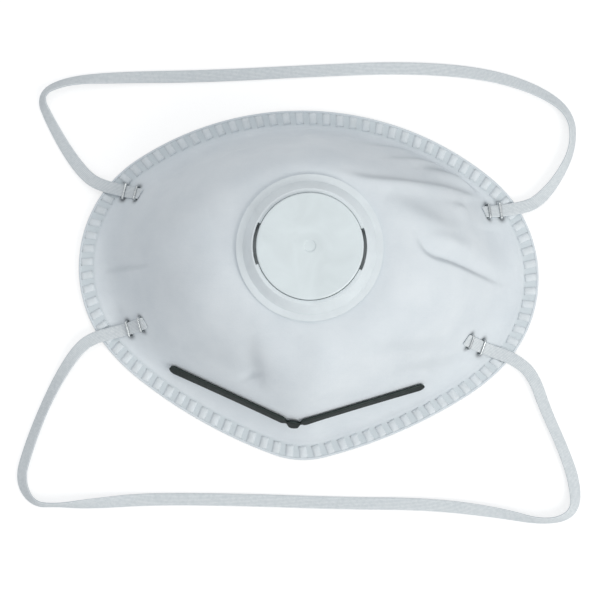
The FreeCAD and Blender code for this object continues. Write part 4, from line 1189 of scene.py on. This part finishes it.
def build_staples(scene):
    """Eight staples of flat-rolled wire, with their legs clinched flush inside the cup."""
    sizes = scene.dust_mask_straps
    cup = Cup(scene.dust_mask_cup)
    reach = sizes.half_crown - sizes.wire / 2
    top = sizes.bed + sizes.wall + sizes.wire / 2
    low = -cup.stack + sizes.wire / 2
    outline = [(reach - sizes.clinch, low), (reach, low), (reach, top)]
    outline += [(-x, z) for x, z in outline[::-1]]
    points = []
    edges = []
    sides = []
    for base, crown, normal in staple_frames(sizes, cup):
        edges += [(len(points) + i, len(points) + i + 1) for i in range(len(outline) - 1)]
        points += [base + crown * x + normal * z for x, z in outline]
        sides += [list(normal.cross(crown))] * len(outline)
    mesh = bpy.data.meshes.new("staple_lines")
    mesh.from_pydata(points, edges, [])
    flat_side = mesh.attributes.new("flat_side", "FLOAT_VECTOR", "POINT")
    flat_side.data.foreach_set("vector", np.array(sides, np.float32).ravel())
    tree, given = node_group("staple wire", [("Wire", "NodeSocketFloat", 0.0005),
                                             ("Bend", "NodeSocketFloat", 0.0005),
                                             ("Flatness", "NodeSocketFloat", 1.5)])
    line = add_node(tree, "GeometryNodeMeshToCurve", {}, {"Mesh": given.outputs["Geometry"]})
    bent = add_node(tree, "GeometryNodeFilletCurve", {"mode": "POLY"},
                    {"Curve": line.outputs[0], "Radius": given.outputs["Bend"], "Count": 5,
                     "Limit Radius": True})
    place = add_node(tree, "GeometryNodeInputPosition")
    kept = add_node(tree, "GeometryNodeStoreNamedAttribute", {"data_type": "FLOAT_VECTOR"},
                    {"Geometry": bent.outputs[0], "Name": "middle", "Value": place.outputs[0]})
    half = calculate(tree, "MULTIPLY", given.outputs["Wire"], 0.5)
    ring = add_node(tree, "GeometryNodeCurvePrimitiveCircle", {}, {"Resolution": 12, "Radius": half})
    wire = add_node(tree, "GeometryNodeCurveToMesh", {}, {"Curve": kept.outputs[0],
                                                          "Profile Curve": ring.outputs[0],
                                                          "Fill Caps": True})
    # The wire is wider across the staple than it is thick: each point moves out along that side.
    middle, side = [add_node(tree, "GeometryNodeInputNamedAttribute", {"data_type": "FLOAT_VECTOR"},
                             {"Name": name}).outputs["Attribute"] for name in ("middle", "flat_side")]
    from_middle = add_node(tree, "ShaderNodeVectorMath", {"operation": "SUBTRACT"},
                           {0: place.outputs[0], 1: middle})
    reach_out = add_node(tree, "ShaderNodeVectorMath", {"operation": "DOT_PRODUCT"},
                         {0: from_middle.outputs[0], 1: side})
    widen = calculate(tree, "MULTIPLY", reach_out.outputs["Value"],
                      calculate(tree, "SUBTRACT", given.outputs["Flatness"], 1.0))
    offset = add_node(tree, "ShaderNodeVectorMath", {"operation": "SCALE"}, {0: side, "Scale": widen})
    flat = add_node(tree, "GeometryNodeSetPosition", {}, {"Geometry": wire.outputs[0],
                                                          "Offset": offset.outputs[0]})
    finish_group(tree, flat.outputs[0], zinc_wire(scene.dust_mask_colours))
    item = apply_group(new_object("staples", mesh), tree,
                       {"Wire": sizes.wire, "Bend": sizes.bend, "Flatness": sizes.flat})
    for name in ("middle", "flat_side"):
        if name in item.data.attributes:
            item.data.attributes.remove(item.data.attributes[name])
    seat(item, "staple", *[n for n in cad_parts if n.startswith("staple_")])


# ---------------------------------------------------------------- straps
# Free loops from left to right in mm: x, y, share of the height from the ground to the rim's top,
# and the lean of the flat elastic about its own line in degrees. It stands up at the corners.
UPPER_ROUTE = [
    (-76.5, 32.1, 0.9, 4), (-83.5, 40.0, 0.5, 18), (-90.3, 50.5, 0, 36), (-95.3, 60.2, 0, 64),
    (-86.0, 65.5, 0, 46), (-68.0, 67.6, 0, 12), (-38.0, 69.6, 0, -4), (-3.0, 73.3, 0, 6),
    (30.0, 76.3, 0, -4), (57.0, 75.6, 0, 8), (75.5, 70.6, 0, 26), (86.6, 63.2, 0, 52),
    (87.9, 51.5, 0, 62), (83.0, 40.3, 0.5, 42), (76.5, 32.1, 0.9, 8)]
LOWER_ROUTE = [
    (-76.2, -25.2, 0.9, -4), (-82.2, -35.0, 0.5, -24), (-87.3, -47.0, 0, -36),
    (-91.3, -59.5, 0, -30), (-94.0, -71.0, 0, -32), (-89.0, -79.2, 0, -66), (-80.5, -79.0, 0, -80),
    (-70.0, -78.0, 0, -38), (-50.0, -75.2, 0, 0), (-18.0, -73.9, 0, -6), (15.0, -73.3, 0, 6),
    (45.0, -72.0, 0, -6), (68.0, -73.6, 0, -30), (84.5, -76.4, 0, -74), (94.2, -72.6, 0, -50),
    (93.6, -62.0, 0, -14), (88.6, -50.0, 0, -26), (82.6, -38.5, 0.5, -20), (77.6, -26.3, 0.9, -4)]
# A right-hand end from its tail down the cup's foot and out over the rim: x, y and height in mm.
UPPER_END = [(58.5, 27.5, 6.3), (60.8, 27.9, 3.6), (63.3, 28.4, 2.65), (71.0, 29.8, 2.7)]
LOWER_END = [(54.2, -16.5, 12.2), (57.0, -17.4, 7.8), (60.6, -18.5, 3.7), (63.6, -19.4, 2.65),
             (71.0, -21.6, 2.7)]


def spline_points(name, controls):
    """Points of a NURBS spline through the air near its control points."""
    curve = bpy.data.curves.new(name, "CURVE")
    curve.dimensions = "3D"
    curve.resolution_u = 48
    spline = curve.splines.new("NURBS")
    spline.points.add(len(controls) - 1)
    for point, control in zip(spline.points, controls):
        point.co = (*control, 1.0)
    spline.order_u = 3
    spline.use_endpoint_u = True
    holder = bpy.data.objects.new(name, curve)
    mesh = bpy.data.meshes.new_from_object(holder)
    points = np.array([vertex.co[:] for vertex in mesh.vertices])
    bpy.data.objects.remove(holder)
    bpy.data.curves.remove(curve)
    bpy.data.meshes.remove(mesh)
    return points


def strap_controls(cup, route, end, sizes):
    """Control points of a strap's middle line, and the way its face looks at each."""
    low = sizes.wall / 2
    right = [Vector(point) * MM for point in end]
    looks = [cup.place(point.x, point.y)[1] for point in right]
    mirror = Vector((-1, 1, 1))
    left = [point * mirror for point in right]
    left_looks = [look * mirror for look in looks]
    flat = [left[-1].xy.to_3d(), *(Vector((x, y, 0)) * MM for x, y, _, _ in route),
            right[-1].xy.to_3d()]
    middle = []
    faces = []
    for index, (_, _, share, lean) in enumerate(route):
        tilt = math.radians(lean)
        aside = UP.cross((flat[index + 2] - flat[index]).normalized())
        stand = (sizes.width / 2 + EDGE_CLEAR) * abs(math.sin(tilt)) + low * math.cos(tilt)
        height = max(low + (cup.stack + sizes.bed) * share, stand)
        middle.append(flat[index + 1] + UP * height)
        faces.append(UP * math.cos(tilt) + aside * math.sin(tilt))
    return left + middle + right[::-1], left_looks + faces + looks[::-1]


def ribbon(name, line, looks, sizes):
    """Flat ribbed elastic along a line, with rounded, closed ends."""
    keep = np.diff(walk(line), prepend=-1.0) > 1e-9
    line, looks = line[keep], looks[keep]
    walked = walk(line)
    count = int(walked[-1] / RIBBON_STEP)
    along = np.linspace(0, walked[-1], count)
    line = np.stack([np.interp(along, walked, line[:, i]) for i in range(3)], axis=-1)
    looks = np.stack([np.interp(along, walked, looks[:, i]) for i in range(3)], axis=-1)
    across, out = line_frames(line, looks)
    half, thick = sizes.width / 2, sizes.wall / 2
    share = np.cos(np.linspace(0, np.pi, 3 * sizes.cords + 2))
    lift = thick * (0.90 + 0.10 * np.cos(share * np.pi * sizes.cords)) * (1 - np.abs(share) ** 14)
    side = np.concatenate([share, -share[1:-1]]) * half
    high = np.concatenate([lift, -lift[::-1][1:-1]])
    # The cut ends are pressed thin and their corners rounded.
    from_end = np.minimum(along, along[-1] - along) / PRESSED_END
    wide = 1 - 0.08 * np.clip(1 - from_end, 0, 1) ** 3
    thin = 1 - 0.55 * np.clip(1 - from_end, 0, 1) ** 2
    line = line - out * ((1 - thin) * thick)[:, None]
    rows = (line[:, None, :] + side[None, :, None] * (across * wide[:, None])[:, None, :]
            + high[None, :, None] * (out * thin[:, None])[:, None, :])
    mesh = capped_tube(name, rows)
    point_value(mesh, "along", np.repeat(along, len(side)))
    point_value(mesh, "across", np.tile(side / half, count))
    smooth(mesh, 60)
    return mesh, line


def build_straps(scene):
    """Upper and lower head strap, each one elastic from staple to staple."""
    sizes = scene.dust_mask_straps
    cup = Cup(scene.dust_mask_cup)
    material = woven_elastic(scene.dust_mask_colours, sizes.cords)
    # The last pair is where, in y, the elastic stops following the cup and follows its loop.
    straps = (("upper", UPPER_ROUTE, UPPER_END, 0.293, (0.0305, 0.0385)),
              ("lower", LOWER_ROUTE, LOWER_END, 0.349, (-0.0228, -0.0315)))
    for name, route, end, real_length, bend in straps:
        middle, looks = strap_controls(cup, route, end, sizes)
        line = spline_points("strap_line", middle)
        faces = spline_points("strap_faces", looks)
        mesh, path = ribbon(name + "_strap", line, faces, sizes)
        item = new_object("strap_" + name, mesh, material)
        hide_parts(name + "_strap_loop", name + "_strap_tab_left", name + "_strap_tab_right")
        leave, _, _ = strap_end(sizes, cup, name, -1)
        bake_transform(item)


# ---------------------------------------------------------------- studio
def seen_as_backdrop(tree):
    """1 for rays that show the backdrop itself or its reflection, 0 for light that it casts."""
    rays = add_node(tree, "ShaderNodeLightPath").outputs
    seen = calculate(tree, "MAXIMUM", rays["Is Camera Ray"], rays["Is Glossy Ray"])
    return calculate(tree, "MAXIMUM", seen, rays["Is Transmission Ray"])


def build_studio(scene):
    """Camera, lamps, room light and floor."""
    studio = scene.dust_mask_studio
    scene.view_settings.view_transform = "Standard"
    ahead = Vector((-math.sin(studio.roll), math.cos(studio.roll), 0))
    away = UP * math.sin(studio.elevation) - ahead * math.cos(studio.elevation)
    away *= studio.distance
    aim = Vector((studio.aim_x, studio.aim_y, 0))
    camera = bpy.data.objects.new("camera", bpy.data.cameras.new("camera"))
    camera.data.sensor_width = SENSOR
    camera.data.lens = SENSOR * studio.distance / studio.frame_width
    camera.data.clip_start = 0.01
    back = away.normalized()
    right = ahead.cross(back).normalized()
    up = back.cross(right)
    turned = Matrix((right, up, back)).transposed().to_4x4()
    camera.matrix_world = Matrix.Translation(aim + away) @ turned
    scene.collection.objects.link(camera)
    scene.camera = camera
    lamps = (("key_lamp", (0.62, -0.52, 0.66), 0.55, studio.key_power),
             ("fill_lamp", (-0.15, 0.55, 1.0), 0.7, studio.fill_power))
    for name, place, size, power in lamps:
        lamp = bpy.data.lights.new(name, "AREA")
        lamp.shape = "SQUARE"
        lamp.size = size
        lamp.energy = power
        lamp.color = (1.0, 0.995, 0.96)
        holder = bpy.data.objects.new(name, lamp)
        place = Vector(place)
        holder.matrix_world = Matrix.Translation(place) @ place.to_track_quat("Z", "Y").to_matrix().to_4x4()
        scene.collection.objects.link(holder)

    world = bpy.data.worlds.new("studio_room")
    scene.world = world
    world.use_nodes = True
    tree = world.node_tree
    tree.nodes.clear()
    backdrop = seen_as_backdrop(tree)
    room = add_node(tree, "ShaderNodeBackground", {}, {"Color": (0.975, 1.0, 1.04, 1),
                                                       "Strength": studio.room})
    white = add_node(tree, "ShaderNodeBackground", {}, {"Color": (1, 1, 1, 1), "Strength": 1.0})
    mixed = add_node(tree, "ShaderNodeMixShader", {}, {0: backdrop, 1: room.outputs[0],
                                                       2: white.outputs[0]})
    add_node(tree, "ShaderNodeOutputWorld", {}, {"Surface": mixed.outputs[0]})

    made, tree = new_material("studio floor, painted board")
    backdrop = seen_as_backdrop(tree)
    plain = add_node(tree, "ShaderNodeBsdfDiffuse", {}, {"Color": (0.8, 0.8, 0.8, 1)})
    soft = add_node(tree, "ShaderNodeBsdfDiffuse", {}, {"Color": (0.55, 0.55, 0.55, 1)})
    glow = add_node(tree, "ShaderNodeEmission", {}, {"Color": (1, 1, 1, 1), "Strength": 0.6})
    pale = add_node(tree, "ShaderNodeAddShader", {}, {0: soft.outputs[0], 1: glow.outputs[0]})
    shader = add_node(tree, "ShaderNodeMixShader", {}, {0: backdrop, 1: plain.outputs[0],
                                                        2: pale.outputs[0]})
    finish_material(tree, shader)
    corners = [(-3, -3), (3, -3), (3, 3), (-3, 3)]
    mesh = bpy.data.meshes.new("floor")
    mesh.from_pydata([(x, y, -FLOOR_GAP) for x, y in corners], [], [(0, 1, 2, 3)])
    new_object("floor", mesh, made)


# ---------------------------------------------------------------- operators and panel
class DUSTMASK_OT_studio(bpy.types.Operator):
    """Make the camera, lamps, room light and floor"""
    bl_idname = "dust_mask.studio"
    bl_label = "Studio"

    def execute(self, context):
        build_studio(context.scene)
        return {"FINISHED"}


class DUSTMASK_OT_straps(bpy.types.Operator):
    """Make the two elastic head straps"""
    bl_idname = "dust_mask.straps"
    bl_label = "Head Straps"

    def execute(self, context):
        build_straps(context.scene)
        return {"FINISHED"}


class DUSTMASK_OT_cup(bpy.types.Operator):
    """Make the cover, filter and felt shell of the cup"""
    bl_idname = "dust_mask.cup"
    bl_label = "Cup Layers"

    def execute(self, context):
        build_cup(context.scene)
        return {"FINISHED"}


class DUSTMASK_OT_weld(bpy.types.Operator):
    """Make the raised bars of the rim's weld"""
    bl_idname = "dust_mask.weld"
    bl_label = "Weld Bars"

    def execute(self, context):
        build_weld(context.scene)
        return {"FINISHED"}


class DUSTMASK_OT_valve(bpy.types.Operator):
    """Finish the exhalation valve's base, ring, cover and diaphragm"""
    bl_idname = "dust_mask.valve"
    bl_label = "Exhalation Valve"

    def execute(self, context):
        build_valve(context.scene)
        return {"FINISHED"}


class DUSTMASK_OT_nose_clip(bpy.types.Operator):
    """Make the bent nose clip"""
    bl_idname = "dust_mask.nose_clip"
    bl_label = "Nose Clip"

    def execute(self, context):
        build_clip(context.scene)
        return {"FINISHED"}


class DUSTMASK_OT_nose_foam(bpy.types.Operator):
    """Make the foam strip inside the nose"""
    bl_idname = "dust_mask.nose_foam"
    bl_label = "Nose Foam"

    def execute(self, context):
        build_foam(context.scene)
        return {"FINISHED"}


class DUSTMASK_OT_staples(bpy.types.Operator):
    """Make the eight staples that hold the straps"""
    bl_idname = "dust_mask.staples"
    bl_label = "Staples"

    def execute(self, context):
        build_staples(context.scene)
        return {"FINISHED"}


OPERATORS = (DUSTMASK_OT_studio, DUSTMASK_OT_straps, DUSTMASK_OT_cup, DUSTMASK_OT_weld,
             DUSTMASK_OT_valve, DUSTMASK_OT_nose_clip, DUSTMASK_OT_nose_foam, DUSTMASK_OT_staples)
GROUPS = (("dust_mask_cup", CupProperties), ("dust_mask_weld", WeldProperties),
          ("dust_mask_nose", NoseProperties), ("dust_mask_straps", StrapProperties),
          ("dust_mask_colours", ColourProperties), ("dust_mask_studio", StudioProperties))


class DUSTMASK_PT_panel(bpy.types.Panel):
    """Lists the mask's pieces"""
    bl_idname = "DUSTMASK_PT_panel"
    bl_label = "Dust Mask"
    bl_space_type = "VIEW_3D"
    bl_region_type = "UI"
    bl_category = "Dust Mask"

    def draw(self, context):
        for operator in OPERATORS:
            self.layout.operator(operator.bl_idname)
        for name, group in GROUPS:
            box = self.layout.box()
            box.label(text=group.__doc__)
            for field in group.__annotations__:
                box.prop(getattr(context.scene, name), field)


CLASSES = (*[group for _, group in GROUPS], *OPERATORS, DUSTMASK_PT_panel)


def register():
    for item in CLASSES:
        bpy.utils.register_class(item)
    for name, group in GROUPS:
        setattr(bpy.types.Scene, name, PointerProperty(type=group))


def unregister():
    for name, _ in GROUPS:
        delattr(bpy.types.Scene, name)
    for item in reversed(CLASSES):
        bpy.utils.unregister_class(item)


def main():
    register()
    for operator in OPERATORS:
        group, name = operator.bl_idname.split(".")
        getattr(getattr(bpy.ops, group), name)()


if __name__ == "__main__":
    main()
